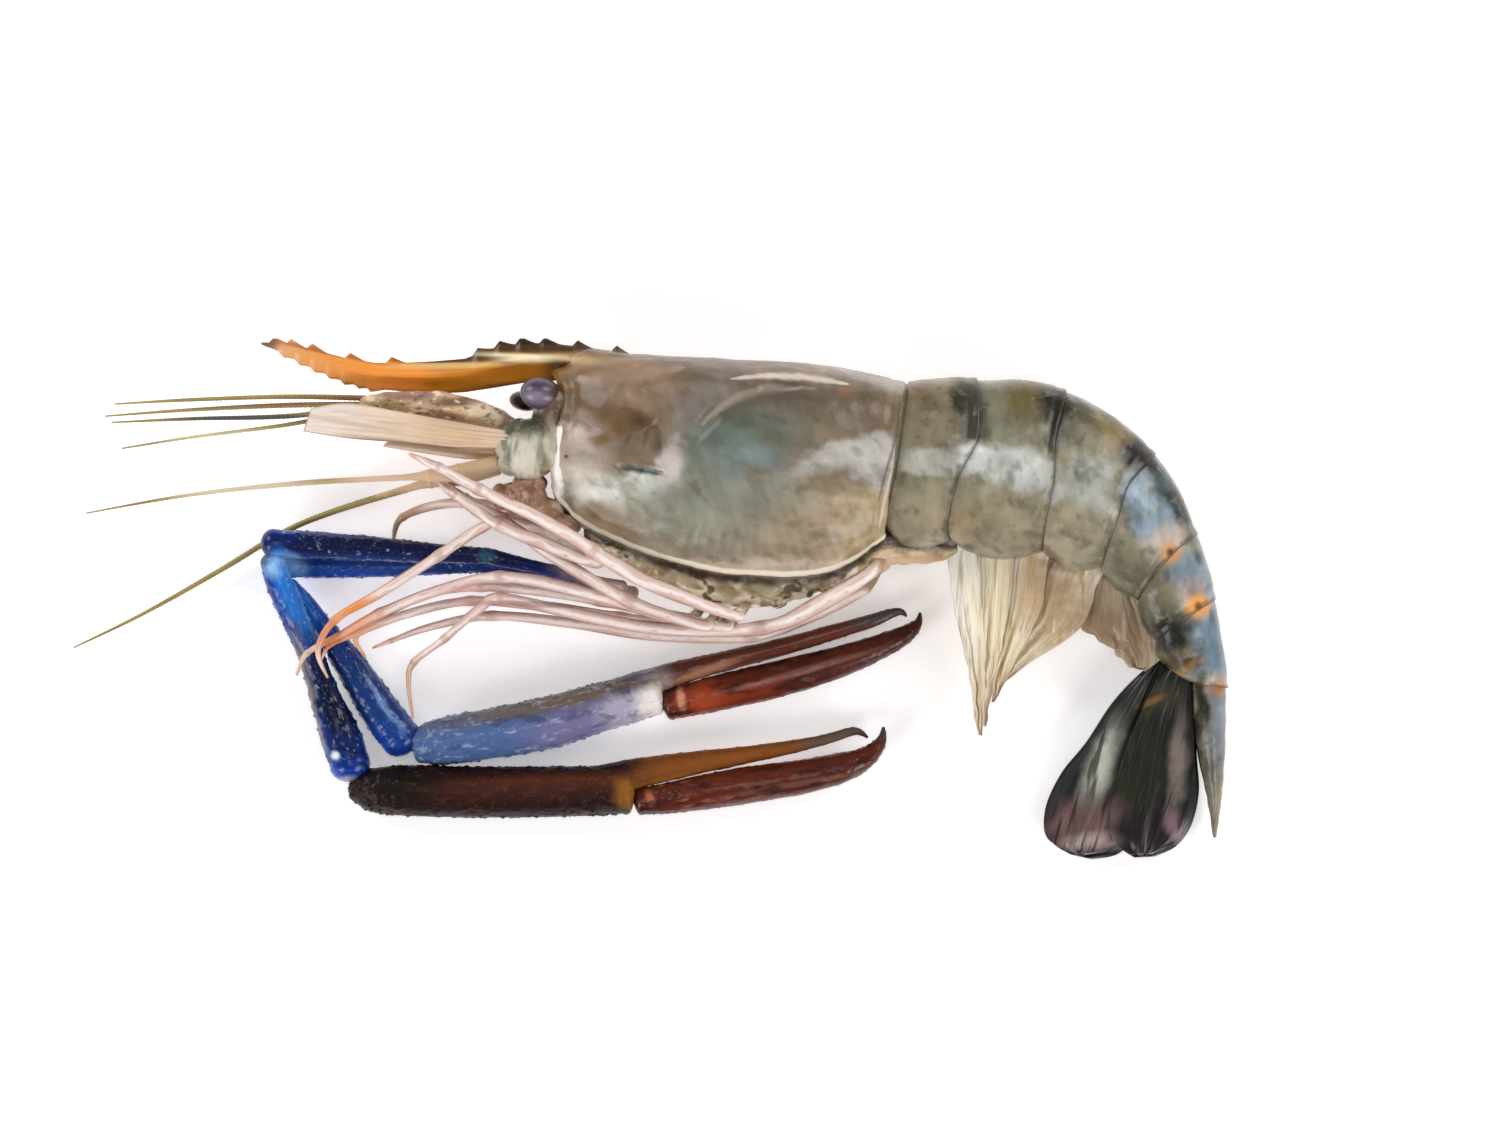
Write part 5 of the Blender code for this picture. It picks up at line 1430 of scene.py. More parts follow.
def beak_mesh():
    """The toothed beak: a thin keel above and below a thicker rib."""
    stations, *columns = np.array(BEAK_STATIONS, float).T
    x = np.linspace(stations[0], stations[-1], BEAK_RINGS)
    top, bottom, half = (np.interp(x, stations, column) for column in columns)
    # The rib runs a little above the middle, and the beak thickens where it sinks into the shell.
    rib = bottom + (top - bottom) * 0.55
    half = half * (1 + 0.5 * ramp(x, -48.0, -36.0))
    top = top + tooth_rise(x, UPPER_TEETH, UPPER_TOOTH_HEIGHT)
    bottom = bottom - tooth_rise(x, LOWER_TEETH, LOWER_TOOTH_HEIGHT)
    side = []
    for place, wide in BEAK_SECTION:
        y = top + (rib - top) * place * 2 if place <= 0.5 else rib + (bottom - rib) * (place - 0.5) * 2
        side.append((y, half * wide))
    ring = [np.column_stack([x, y, PLANE + z]) for y, z in side]
    ring += [np.column_stack([x, y, PLANE - z]) for y, z in reversed(side)]
    rings = np.stack(ring, 1)
    # The beak carries the shell's marks too, so far off that none of them shows on it.
    far, none = np.full(rings.shape[:2], 40.0), np.zeros(rings.shape[:2])
    marks = {"front": far, "lower": far, "rear": far, "gill": none, "rim": none}
    marks.update({f"line {number}": far for number in range(len(HEAD_LINES))})
    return body_mesh("beak", rings, marks)


def head_paint(look):
    """Chitin of the head shell, grown in one piece at the moult and wet: mottled by the pigment under
    it, which shows through as blots, streaks and fine lines beneath broken highlights. Some pale
    blots and lines are painted highlights and reflections, and some dark lines are painted shade."""
    paint = Paint("moulted chitin of the head, wet", look.shell, 2.0, 9.0)
    # Blots of pigment, and pale blots of painted reflection on the flank.
    paint.blots(HEAD_BLOTS)
    # Streaks of pigment some 2 mm wide run down and back over the shell.
    paint.shade(paint.grain(2.2, (0.9, 5, 4), turn=18), 0.86, 1.12)
    paint.shade(paint.grain(6, (1.8, 1, 1), turn=-12, detail=5), 0.64, 1.26)
    paint.lay("#6a5c3c", paint.grain(4.4, (1.6, 1, 1), turn=-20, detail=4), 0.52, 0.7, 0.5)
    paint.lay("#54442c", paint.grain(3.4, (1.5, 1, 1), turn=-28, detail=2), 0.55, 0.7, 0.35)
    paint.lay("#c2b8a2", paint.mark("gill", 1.4), 0.3, 1.3, 0.2)
    # Fine lines, some of them painted highlights on the back and the fold's ridge, some painted shade.
    for number, (colour, _, strength, _) in enumerate(HEAD_LINES):
        paint.lay(colour, paint.mark(f"line {number}", 2.4), 1.7, 0.2, strength)
    # The beak's pigment, with a painted highlight along its rib.
    paint.blots(BEAK_BLOTS)
    paint.lay("#6a5848", paint.mark("rear", 0.8), 0.35, 0.05, 0.5)
    paint.lay("#3a2a20", paint.mark("front"), -0.3, -1.4, 0.95)
    # The lower edge has a cream rim with a brown line under it, the front edge a white rim.
    paint.lay(look.rim, paint.mark("lower", 0.6), 2.3, 1.9, 0.9)
    paint.lay("#4c3526", paint.mark("lower", 0.6), 1.3, 1, 0.85)
    paint.lay("#fffaf0", paint.mark("rim"), 0.3, 0.7, 0.97)
    paint.emboss(paint.grain(5), 0.25)
    paint.emboss(paint.grain(0.9), 0.06)
    return paint.finish(0.36, WET_SHELL)


class PRAWN_OT_eyes(PrawnOperator, bpy.types.Operator):
    """Builds the two eyes on their short stalks"""

    bl_idname = "prawn.eyes"
    bl_label = "Eyes"

    def execute(self, context):
        material = eye_paint(context.scene.prawn_face)
        for side, (x, y, off, sizes) in EYES.items():
            mesh = eye_mesh((x, y, PLANE + off), sizes, math.copysign(1, off))
            dress(f"eye_{side}_globe", mesh, material, "eye", f"eye_{side}")
        return {"FINISHED"}


def eye_mesh(centre, sizes, away):
    """A dome that bulges forwards and outwards from a narrower stalk."""
    rows, sides = 60, 48
    share, girth = np.clip(smooth_rows(EYE_PROFILE, np.linspace(0, 1, rows)), 0, 1).T
    turn = math.tau * np.arange(sides) / sides
    # The stalk leads back and in towards the plane of symmetry.
    run = np.array((0.86, -0.12, -0.5 * away))
    run /= np.linalg.norm(run)
    across = np.cross(run, (0, 0, 1.0))
    across /= np.linalg.norm(across)
    up = np.cross(across, run)
    start = np.array(centre) - run * sizes[0]
    ring = np.cos(turn)[None, :, None] * across * sizes[1] + np.sin(turn)[None, :, None] * up * sizes[2]
    rings = start + run * (share * sizes[0] * EYE_LENGTH)[:, None, None] + girth[:, None, None] * ring
    return body_mesh("eye", rings, {"along": np.repeat(share[:, None], sides, 1)})


def eye_paint(look):
    """Cornea of clear chitin over purple grey pigment, grown in facets of 0.05 mm and a little dried.
    The facets are too fine to show, so its face is an even gloss; the stalk is brown."""
    paint = Paint("clear chitin of the cornea, dried", look.eye, 0.5)
    paint.shade(paint.grain(1.6), 0.75, 1.3)
    paint.blots(EYE_BLOTS)
    paint.lay(look.stalk, paint.mark("along"), 0.8, 0.9, 0.95)
    return paint.finish(0.34, CORNEA, 0.04)


class PRAWN_OT_face(PrawnOperator, bpy.types.Operator):
    """Builds the swellings that carry the feelers, and the mouth parts"""

    bl_idname = "prawn.face"
    bl_label = "Feeler Bases and Mouth"

    def execute(self, context):
        look = context.scene.prawn_face
        material = base_paint(look)
        for side, (x, y, off, sizes) in FEELER_BASES.items():
            mesh = base_mesh(x, y, off, sizes)
            dress(f"feeler_base_{side}_lump", mesh, material, "head_shell", f"feeler_base_{side}")
        dress("mouth_flesh", mouth_mesh(), mouth_paint(look), "mouth", "mouth_parts")
        return {"FINISHED"}


def egg(place, sizes, seed, height, grain):
    """An uneven egg-shaped lump round a place. Height and grain are those of the bumps on it."""
    rows, sides = 40, 64
    lean = np.linspace(0.02, math.pi - 0.02, rows)
    turn = math.tau * np.arange(sides) / sides
    unit = np.stack([
        np.outer(-np.cos(lean), np.ones(sides)), np.outer(np.sin(lean), np.cos(turn)),
        np.outer(np.sin(lean), np.sin(turn)),
    ], 2)
    mesh = body_mesh("lump", np.array(place) + unit * np.array(sizes))
    raise_by(mesh, height * bumps(read_points(mesh), grain, seed))
    return mesh


def base_mesh(x, y, off, sizes):
    """The swelling that carries a feeler: one large lump with smaller ones melted into it."""
    away = math.copysign(1, off)
    parts = [egg((x + 0.6, y - 0.4, PLANE + off), sizes, 1.0, 0.3, 3.0)]
    for number, ((right, up, out), lump, height, grain) in enumerate(BASE_LUMPS):
        place = (x + right, y + up, PLANE + off + out * away)
        parts.append(egg(place, lump, 2.0 + number, height, grain))
    mesh = weld("feeler_base", parts, FINE_VOXEL)
    points = read_points(mesh)
    raise_by(mesh, 0.2 * bumps(points, (1.2, 5.0, 2.0), 3.0) + 0.15 * bumps(points, 2.4, 1.0))
    return mesh


def base_paint(look):
    """Thin chitin over the feeler muscles, grown at the moult and wet: the flesh shows through cream,
    with green on top and grey streaks down it."""
    paint = Paint("thin moulted chitin of the feeler bases, wet", look.base, 0.8)
    paint.shade(paint.grain(3), 0.75, 1.15)
    paint.lay("#7c8672", paint.grain(1.5, (0.7, 4, 2), turn=-8), 0.5, 0.66, 0.7)
    paint.blots(FEELER_BASE_BLOTS)
    paint.emboss(paint.grain(0.9), 0.15)
    return paint.finish(0.36, WET_SHELL)


def mouth_mesh():
    """The mouth: one lump with a row of small lips and three jaw lumps on each side of it."""
    x, y = MOUTH
    parts = [egg((x, y, PLANE), MOUTH_SIZES, 6.0, 0.3, 2.6)]
    for side in (-1, 1):
        for step in range(4):
            centre = (x - 3.8 + 2.6 * step, y - 0.5 - 0.3 * (step % 2), PLANE + side * (3.8 + 0.6 * step))
            parts.append(egg(centre, (1.7, 2.7, 2.6), 7.0 + step, 0.2, 1.6))
        for number, ((right, up, out), sizes, height, grain) in enumerate(MOUTH_LUMPS):
            place = (x + right, y + up, PLANE + side * out)
            parts.append(egg(place, sizes, 12.0 + number, height, grain))
    return weld("mouth", parts, FINE_VOXEL)


def mouth_paint(look):
    """Raw skin over the muscles of the mouth, soft and wet: light goes in, so its brown pink, cream
    and dark brown spots run softly into each other."""
    paint = Paint("raw skin of the mouth, wet", look.mouth, 0.6)
    paint.shade(paint.grain(2.2), 0.6, 1.3)
    paint.lay("#e0cdb6", paint.grain(1.6, (1, 2, 1)), 0.56, 0.72, 0.7)
    paint.lay("#4e3024", paint.grain(2.8), 0.42, 0.3, 0.8)
    paint.blots(MOUTH_BLOTS)
    paint.emboss(paint.grain(0.8), 0.2)
    return paint.finish(0.42, WET_FLESH)


class PRAWN_OT_feelers(PrawnOperator, bpy.types.Operator):
    """Builds the long feelers and the short forked ones, ringed along their length"""

    bl_idname = "prawn.feelers"
    bl_label = "Feelers"

    def execute(self, context):
        look = context.scene.prawn_feelers
        ring = look.ring / MM
        material = feeler_paint(look)
        for name, rows in FEELERS.items():
            mesh = whip_mesh(rows, 520, ring, 3)
            dress(f"{name}_whip", mesh, material, "feeler", name)
        root = root_paint(look)
        for side, whips in ANTENNULE_WHIPS.items():
            mesh = root_mesh(1 if side == "left" else -1)
            dress(f"antennule_{side}_root", mesh, root, "feeler", f"antennule_{side}")
            for number, rows in enumerate(whips):
                mesh = whip_mesh(rows, 260, ring, 0)
                dress(f"antennule_{side}_whip_{number + 1}", mesh, material, "feeler", f"antennule_{side}")
        return {"FINISHED"}


def joint_swell(places, joints, width):
    """One at each joint along a limb and nought away from them."""
    return sum(bell(places, joint, width) for joint in joints)


def root_mesh(away):
    """A short feeler's thick root with its three joints, on one side of the plane of symmetry."""
    rows = [(x, y, PLANE + off * away, radius) for x, y, off, radius in ANTENNULE_ROOT]

    def girth(centres, places):
        return 1 + 0.1 * joint_swell(places, (0.1, 0.46, 0.78), 0.04)

    mesh = body_mesh("feeler_root", *limb_rings(rows, 90, 32, girth))
    raise_by(mesh, 0.12 * bumps(read_points(mesh), 1.8, 2.0))
    return mesh


def whip_mesh(rows, count, ring, root_rows):
    """A whip with a ring every so many millimetres. Its first rows are a thicker jointed root."""
    spans = len(rows) - 1

    def girth(centres, places):
        reach = np.concatenate([[0], np.cumsum(np.linalg.norm(np.diff(centres, axis=0), axis=1))])
        ringed = 1 + 0.12 * np.abs(np.sin(math.pi * reach / ring))
        if not root_rows:
            return ringed
        jointed = 1 + 0.12 * joint_swell(places, [number / spans for number in range(1, root_rows)], 0.01)
        return np.where(places < root_rows / spans, jointed, ringed)

    return body_mesh("whip", *limb_rings(rows, count, 12, girth, cap=0.5))


def feeler_paint(look):
    """Chitin of the whips, grown in rings at the moult and nearly dry: satin, with a fine ringed
    shine, olive to pale brown with pink roots."""
    paint = Paint("ringed moulted chitin of the feelers", look.whip, 1.5)
    paint.shade(paint.grain(6, (3, 1, 1)), 0.7, 1.25)
    paint.blots(FEELER_BLOTS)
    paint.emboss(paint.grain(0.6), 0.05)
    return paint.finish(0.4, WET_SHELL)


def root_paint(look):
    """Thin chitin over the short feelers' flesh, grown at the moult and wet: tan, with purplish
    streaks on top and olive ones below, where the flesh shows through."""
    paint = Paint("thin moulted chitin of the feeler roots, wet", look.root, 0.8)
    paint.shade(paint.grain(2.4, (2, 1, 1)), 0.7, 1.15)
    paint.blots(FEELER_ROOT_BLOTS)
    paint.lay("#6a4c3c", paint.grain(1.2, (1.6, 1, 1), turn=8), 0.54, 0.66, 0.75)
    paint.lay("#f0e0c4", paint.grain(1.5, (1.8, 1, 1), turn=-4), 0.56, 0.68, 0.75)
    paint.emboss(paint.grain(0.8), 0.1)
    return paint.finish(0.36, WET_SHELL)


class PRAWN_OT_feeler_scales(PrawnOperator, bpy.types.Operator):
    """Builds the flat ribbed scales beside the feelers"""

    bl_idname = "prawn.feeler_scales"
    bl_label = "Feeler Scales"

    def execute(self, context):
        material = scale_paint(context.scene.prawn_feelers)
        for side, (upper, lower, level) in FEELER_SCALES.items():
            mesh = scale_mesh(upper, lower, level)
            dress(f"feeler_scale_{side}_blade", mesh, material, "feeler_scale", f"feeler_scale_{side}")
        return {"FINISHED"}


def scale_mesh(upper, lower, level):
    """A flat scale that bows up along its middle and sinks a little towards its end."""
    def height(along, across):
        ribs = 0.1 * np.sin(across * math.pi * 9) * (1 - along)
        return level + 0.9 * np.sin(math.pi * across) - 1.5 * along + ribs

    rings, marks = leaf_rings((upper, lower), 120, 48, height, 0.9)
    marks["ribs"] = ribbed(marks["across"], 15)
    return body_mesh("scale", rings, marks)


def scale_paint(look):
    """Chitin blade of the feeler scales, grown thin and ribbed at the moult and wet: half clear, so
    it is a pale pink cream with brown ribs and a darker edge."""
    paint = Paint("thin ribbed chitin of the feeler scales, wet", look.scale, 0.6)
    paint.shade(paint.grain(6, (2, 1, 1)), 0.88, 1.08)
    paint.blots(FEELER_SCALE_BLOTS)
    # Fine ribs run along the blade, about 0.5 mm apart, drawn at 0.8 and 1.2 mm.
    paint.lay("#b08a6c", paint.grain(0.8, (30, 1, 1), turn=-5, detail=1), 0.5, 0.75, 0.28)
    paint.lay("#8a6248", paint.grain(1.2, (22, 1, 1), turn=-6, detail=1), 0.58, 0.75, 0.35)
    paint.lay("#c09a7c", paint.mark("across"), 0.07, 0.02, 0.6)
    paint.lay("#6a4836", paint.mark("across"), 0.955, 0.985, 0.7)
    paint.lay("#5a4a40", paint.mark("along"), 0.98, 0.998, 0.7)
    paint.emboss(paint.mark("ribs"), 0.1)
    return paint.finish(0.34, WET_FLESH)


class PRAWN_OT_under_body(PrawnOperator, bpy.types.Operator):
    """Builds the lumpy flesh under the head shell with the roots of the legs"""

    bl_idname = "prawn.under_body"
    bl_label = "Under Body"

    def execute(self, context):
        look = context.scene.prawn_under
        dress("under_body_flesh", under_mesh(), under_paint(look), "under_body", "thorax")
        return {"FINISHED"}


def chest_lumps():
    """Places and half sizes of the lumps where the legs join the chest: a row on each side, with
    three lumps at each step."""
    lumps = []
    chest_x, chest_low = np.array(CHEST_STATIONS).T[:2]
    for side in (-1, 1):
        for number in range(CHEST_LUMP_PAIRS):
            x = FIRST_CHEST_LUMP + CHEST_LUMP_STEP * number
            low = np.interp(x, chest_x, chest_low)
            stray = noise.cell_vector((number, side, 3.0))
            z = head_plane(x) + side * (4.6 + stray.z)
            lumps.append(((x, low + 3.0 + stray.y, z), (3.4 + stray.x, 1.7 + 0.6 * stray.y, 3.2)))
            lumps.append(((x + 2.4, low + 5.8 + stray.x, z + side * 0.6), (3.0, 1.8 + 0.7 * stray.z, 3.0)))
            lumps.append(((x + 1.2, low + 1.2, z - side * 1.6), (2.6, 1.0 + 0.5 * stray.x, 2.2)))
    return lumps


def under_mesh():
    """The chest with a double row of lumps, where the legs join it, and tight skin between."""
    rings = []
    for x, low, half in smooth_rows(CHEST_STATIONS, np.linspace(0, 1, 60)):
        edge = ((x, CHEST_TOP), (x, low + 0.2))
        rings.append(hoop(edge, half * CHEST_SHRINK, head_plane(x), 72))
    lumps = chest_lumps()
    parts = [egg(place, sizes, number, 0.6, 1.7) for number, (place, sizes) in enumerate(lumps)]
    mesh = weld("under_body", [body_mesh("chest", rings), *parts], COARSE_VOXEL)
    points = read_points(mesh)
    raise_by(mesh, 0.4 * bumps(points, (3.0, 2.2, 3.0)) + 0.1 * bumps(points, 1.6, 3.0))
    points = read_points(mesh)
    belly_x, belly_y = np.array(HEAD_HOOPS).T[2:4]
    add_mark(mesh, "below", np.interp(points[:, 0], belly_x, belly_y) - points[:, 1])
    # How near each point lies to a lump's middle, so that the crevices between lumps stay dark as painted
    # shade.
    away = np.full(len(points), np.inf)
    for place, sizes in lumps:
        away = np.minimum(away, np.linalg.norm((points[:, :2] - place[:2]) / np.array(sizes[:2]), axis=1))
    add_mark(mesh, "lump", ramp(away, 1.2, 0.2))
    add_mark(mesh, "band", np.min([near_line(points, line, 0.5) for line in LEG_ROOT_BANDS], axis=0))
    return mesh


def under_paint(look):
    """Raw skin over the muscles of the leg roots, soft and wet: light goes in and comes out softened,
    so the grey-green cream lumps glow a little. Between them the skin is dark brown, partly its own
    colour and partly painted shade in the crevices."""
    paint = Paint("raw skin under the body, wet", look.gap, 1.0)
    # The lumps are laid lighter, and the dark ground left between them is partly painted shade.
    paint.lay("#9a8460", paint.mark("lump", 1.6), 0.05, 0.35, 0.9)
    paint.lay("#b3a486", paint.grain(3.6, (1.6, 0.8, 1), turn=-16, detail=1.5), 0.46, 0.6, 0.85)
    paint.lay(look.flesh, paint.grain(4.4, (1.8, 0.6, 1), turn=-24, detail=1.5), 0.5, 0.6, 0.9)
    paint.lay("#4a3018", paint.grain(3.4, (1, 0.9, 1), turn=-25, detail=2), 0.45, 0.34, 0.9)
    paint.blots(UNDER_BLOTS)
    # Under the shell's edge the skin lies deep in shade: painted shade, laid on as dark brown.
    paint.lay("#36261a", paint.mark("below", 2.6), 1.7, 0.2, 0.85)
    paint.lay("#f2e9d8", paint.mark("band", 2), 1.5, 0.5, 0.9)
    paint.shade(paint.grain(2.2), 0.86, 1.12)
    paint.emboss(paint.grain(1.8), 0.15)
    return paint.finish(0.42, WET_FLESH)


class PRAWN_OT_tail(PrawnOperator, bpy.types.Operator):
    """Builds the six lapping rings of the tail and its spine"""

    bl_idname = "prawn.tail"
    bl_label = "Tail"

    def execute(self, context):
        look = context.scene.prawn_tail
        material = tail_paint(look)
        for number in range(len(TAIL_EDGES) - 1):
            mesh = tail_mesh(number, look.lap / MM)
            dress(f"abdomen_{number + 1}_shell", mesh, material, "tail_shell", f"abdomen_{number + 1}")
        dress("telson_shell", spine_mesh(), material, "tail_shell", "telson")
        return {"FINISHED"}


def tail_ring(joints, number, place, under):
    """One hoop of a tail ring, whose place is 0 at its joint and 1 at its rim. The ring starts at
    -under, below the ring in front."""
    row = smooth_rows(joints, [max(number + place, 0.0) / (len(joints) - 1)])[0]
    if number + place < 0:
        row = row + (joints[0] - joints[1]) * -(number + place) * 0.9
    edge = list(zip(row[0:10:2], row[1:10:2]))
    # The ring bulges in its middle, flares at its rim and is narrower under the ring in front.
    swell = 0.022 * math.sin(math.pi * np.clip(place, 0, 1))
    swell += 0.026 * place ** 3 if place > 0 else 0.0
    swell -= 0.025 if place < 0 else 0.0
    swell -= 0.04 * ramp(place, 0, -under) if number else 0.0
    ring = hoop(edge, row[10], row[11], TAIL_RING_SIDES, swell)
    # The side plate of each ring is a rounded lobe that draws back at its corners.
    down = ramp((1 - np.sin(hoop_turn(TAIL_RING_SIDES))) / 2, 0.72, 1)
    upwards = np.array([*(np.array(edge[0]) - edge[-1]) / math.dist(edge[0], edge[-1]), 0.0])
    lobe = math.sin(math.pi * np.clip(0.04 + 0.92 * place, 0, 1)) ** 0.8
    drawn = (3.4 if number < 3 else 2.0) * (1 - lobe) - 0.7
    return ring + np.outer(down ** 2, upwards) * drawn


def tail_mesh(number, lap):
    """One tail ring: it starts under the ring in front and ends in a flared rim over the next."""
    joints = np.array([(*sum(edge, ()), half, plane) for edge, half, plane in TAIL_EDGES])
    # A joint's numbers 4 and 5 are the middle point of its line.
    length = np.linalg.norm(joints[number + 1, 4:6] - joints[number, 4:6])
    under = lap / length
    places = np.concatenate([np.linspace(-under, 0.0, 8), np.linspace(0.02, 1.0, 60)])
    rings = np.array([tail_ring(joints, number, place, under) for place in places])
    edge = np.repeat(((1 - places) * length)[:, None], TAIL_RING_SIDES, 1)
    middle = rings[-1].mean(0)
    run = middle - rings[-8].mean(0)
    run /= np.linalg.norm(run)
    for step, scale in TAIL_TUCKS:
        rings = np.concatenate([rings, (middle + (rings[-1] - middle) * scale + run * step)[None]])
        edge = np.concatenate([edge, edge[-1:] - 0.4])
    mesh = body_mesh(f"ring_{number + 1}", rings, {"edge": edge})
    points = read_points(mesh)
    near = read_mark(mesh, "edge")
    rise = 0.25 * bumps(points, (6, 6, 9)) + 0.08 * bumps(points, 2.0, 5.0)
    rise += 0.08 * bell(near, 0.4, 0.4) - 0.12 * bell(near, 1.6, 0.6)
    raise_by(mesh, rise)
    return mesh


def spine_mesh():
    """The tail spine with a low keel along its top."""
    rings, marks = limb_rings(TAIL_SPINE, 120, 40, cap=0.6)
    rings[..., 2] += 0.35 * np.maximum(0, np.cos(math.tau * (marks["around"] - 0.25))) ** 8
    # It has no rim, so it keeps clear of the mark that the rings' margins are drawn by.
    mesh = body_mesh("spine", rings, {"edge": np.full(marks["along"].shape, 9.0)})
    raise_by(mesh, 0.15 * bumps(read_points(mesh), 2.0))
    return mesh


def tail_paint(look):
    """Chitin rings of the tail, grown at the moult and wet: the pigment under them shows through as
    grey green with dark bands and orange spots, beneath broken highlights and pale patches of
    painted reflection."""
    paint = Paint("moulted chitin of the tail, wet", look.shell, 1.8, 8.0)
    # Pigment in blots, and pale blots of painted reflection along the rings' flanks.
    paint.blots(TAIL_BLOTS)
    paint.shade(paint.grain(5, (1, 1.4, 1), detail=5), 0.6, 1.3)
    paint.lay("#55583c", paint.grain(3.6, (1, 1.5, 1), detail=4), 0.54, 0.7, 0.4)
    paint.lay("#b3a68c", paint.grain(3, (1.3, 1, 1), turn=30, detail=4), 0.57, 0.72, 0.35)
    paint.lay("#38301c", paint.grain(3, (1, 1.5, 1), turn=12, detail=2), 0.54, 0.72, 0.4)
    paint.shade(paint.grain(1.8, (0.9, 3, 2), turn=6), 0.9, 1.08)
    paint.blots(SPOT_BLOTS)
    # Each ring ends in a thin dark margin that is worn pale in places.
    paint.lay("#352a1e", paint.mark("edge", 3.4), 1, 0.1, 0.6)
    paint.lay("#2a2018", paint.mark("edge"), 0.2, 0.08, 0.45)
    paint.emboss(paint.grain(0.9), 0.08)
    return paint.finish(0.34, WET_SHELL)


class PRAWN_OT_tail_fan(PrawnOperator, bpy.types.Operator):
    """Builds the four blades of the tail fan"""

    bl_idname = "prawn.tail_fan"
    bl_label = "Tail Fan"

    def execute(self, context):
        material = fan_paint(context.scene.prawn_tail)
        for name, (edges, level, shift) in FAN_BLADES.items():
            dress(f"{name}_blade", blade_mesh(edges, level, shift), material, "tail_fan", name)
        return {"FINISHED"}


def rooted(edges, reach):
    """A leaf's edges, each run on that far at its root, to inside the tail ring that it hangs from."""
    return [((2 * edge[0][0] - edge[1][0], edge[0][1] + reach), *edge) for edge in edges]


def blade_mesh(edges, level, shift):
    """One blade of the tail fan: bowed, gently waved and stiffened by two veins."""
    moved = [[(x + shift[0], y + shift[1]) for x, y in edge] for edge in rooted(edges, 4.2)]

    def height(along, across):
        veins = 0.35 * bell(across, 0.42, 0.06) + 0.2 * bell(across, 0.16, 0.05)
        wave = 0.3 * np.sin(across * math.pi * 5 + 1.5 * along) * along
        return level - FAN_DROP * along + FAN_BOW * np.sin(math.pi * across) * along + veins + wave

    rings, marks = leaf_rings(moved, 120, 56, height, 0.8)
    rim = (1 - marks["along"]) * 9 + 0.15
    return body_mesh("blade", rings, {"rim": rim, "ribs": ribbed(marks["across"], 22)})


def fan_paint(look):
    """Chitin of the tail fan, hardened with lime after the moult and wet: black green to mauve, with
    fine ribs that catch a sharp shine."""
    paint = Paint("limed chitin of the tail fan, wet", look.fan, 0.8)
    paint.blots(FAN_BLOTS)
    paint.shade(paint.grain(4, (1, 2, 1), turn=-15), 0.6, 1.4)
    paint.lay("#7c7a70", paint.grain(1.3, (0.9, 9, 1), turn=-17), 0.6, 0.74, 0.35)
    paint.lay("#07080c", paint.grain(1.6, (0.9, 10, 1), turn=-15, detail=2), 0.45, 0.32, 0.8)
    paint.lay("#a8938f", paint.mark("rim", 1.6), 0.45, 0.1, 0.4)
    paint.emboss(paint.mark("ribs"), 0.03)
    return paint.finish(0.36, HARD_SHELL)


class PRAWN_OT_swimmerets(PrawnOperator, bpy.types.Operator):
    """Builds the ten soft leaves under the tail"""

    bl_idname = "prawn.swimmerets"
    bl_label = "Swimmerets"

    def execute(self, context):
        material = swimmeret_paint(context.scene.prawn_under)
        for side, (level, step) in SWIMMERET_LEVELS.items():
            for number, edges in enumerate(SWIMMERETS):
                mesh = swimmeret_mesh(number, edges, level + step * number)
                name = f"swimmeret_{number + 1}_{side}"
                dress(f"{name}_leaf", mesh, material, "swimmeret", name)
        return {"FINISHED"}


def swimmeret_mesh(number, edges, level):
    """One soft leaf, folded along its rays and frayed towards its end, the last two more than others."""
    def height(along, across):
        fold = 0.7 * np.abs(np.sin(2.5 * math.pi * across + 0.6 * along)) * (0.3 + 0.7 * along)
        curl = 0.25 * np.sin(7 * math.pi * across + 5 * along) * along
        return level - 2.0 * along + fold + curl

    rings, marks = leaf_rings(rooted(edges, 3.4), 90, 40, height, 0.6)
    frayed = bumps(rings.reshape(-1, 3), (1.6, 3.0, 4.0), number).reshape(rings.shape[:2])
    frayed *= marks["along"] * (1.0 if number < 3 else 1.8)
    rings[..., 0] += 0.7 * frayed
    rings[..., 1] += 0.5 * frayed
    marks["rays"] = ribbed(marks["across"], 18)
    marks["rear"] = np.full(rings.shape[:2], SWIMMERET_BROWN[number])
    return body_mesh("leaf", rings, marks)


def swimmeret_paint(look):
    """Chitin skin over fine rays, never limed, so soft and half clear, and wet: cream where the light
    comes through, browner where the leaves lie double, with tan streaks along the rays."""
    paint = Paint("soft rayed chitin of the swimmerets, wet", look.leaf, 0.8)
    paint.shade(paint.grain(5, (1, 2, 1)), 0.88, 1.1)
    paint.blots(SWIMMERET_BLOTS)
    paint.lay("#b99a64", paint.grain(1.6, (0.9, 16, 1), turn=-3, detail=2), 0.54, 0.68, 0.6)
    paint.lay("#8c6a40", paint.grain(2.2, (0.7, 14, 1), turn=-6, detail=2), 0.62, 0.7, 0.45)
    paint.lay("#fff8ea", paint.grain(1.8, (0.8, 14, 1), turn=-3, detail=2), 0.42, 0.3, 0.6)
    paint.lay("#8f7658", paint.mark("rear", 0.6), 0.1, 1, 0.8)
    paint.emboss(paint.mark("rays"), 0.15)
    return paint.finish(0.38, WET_FLESH)


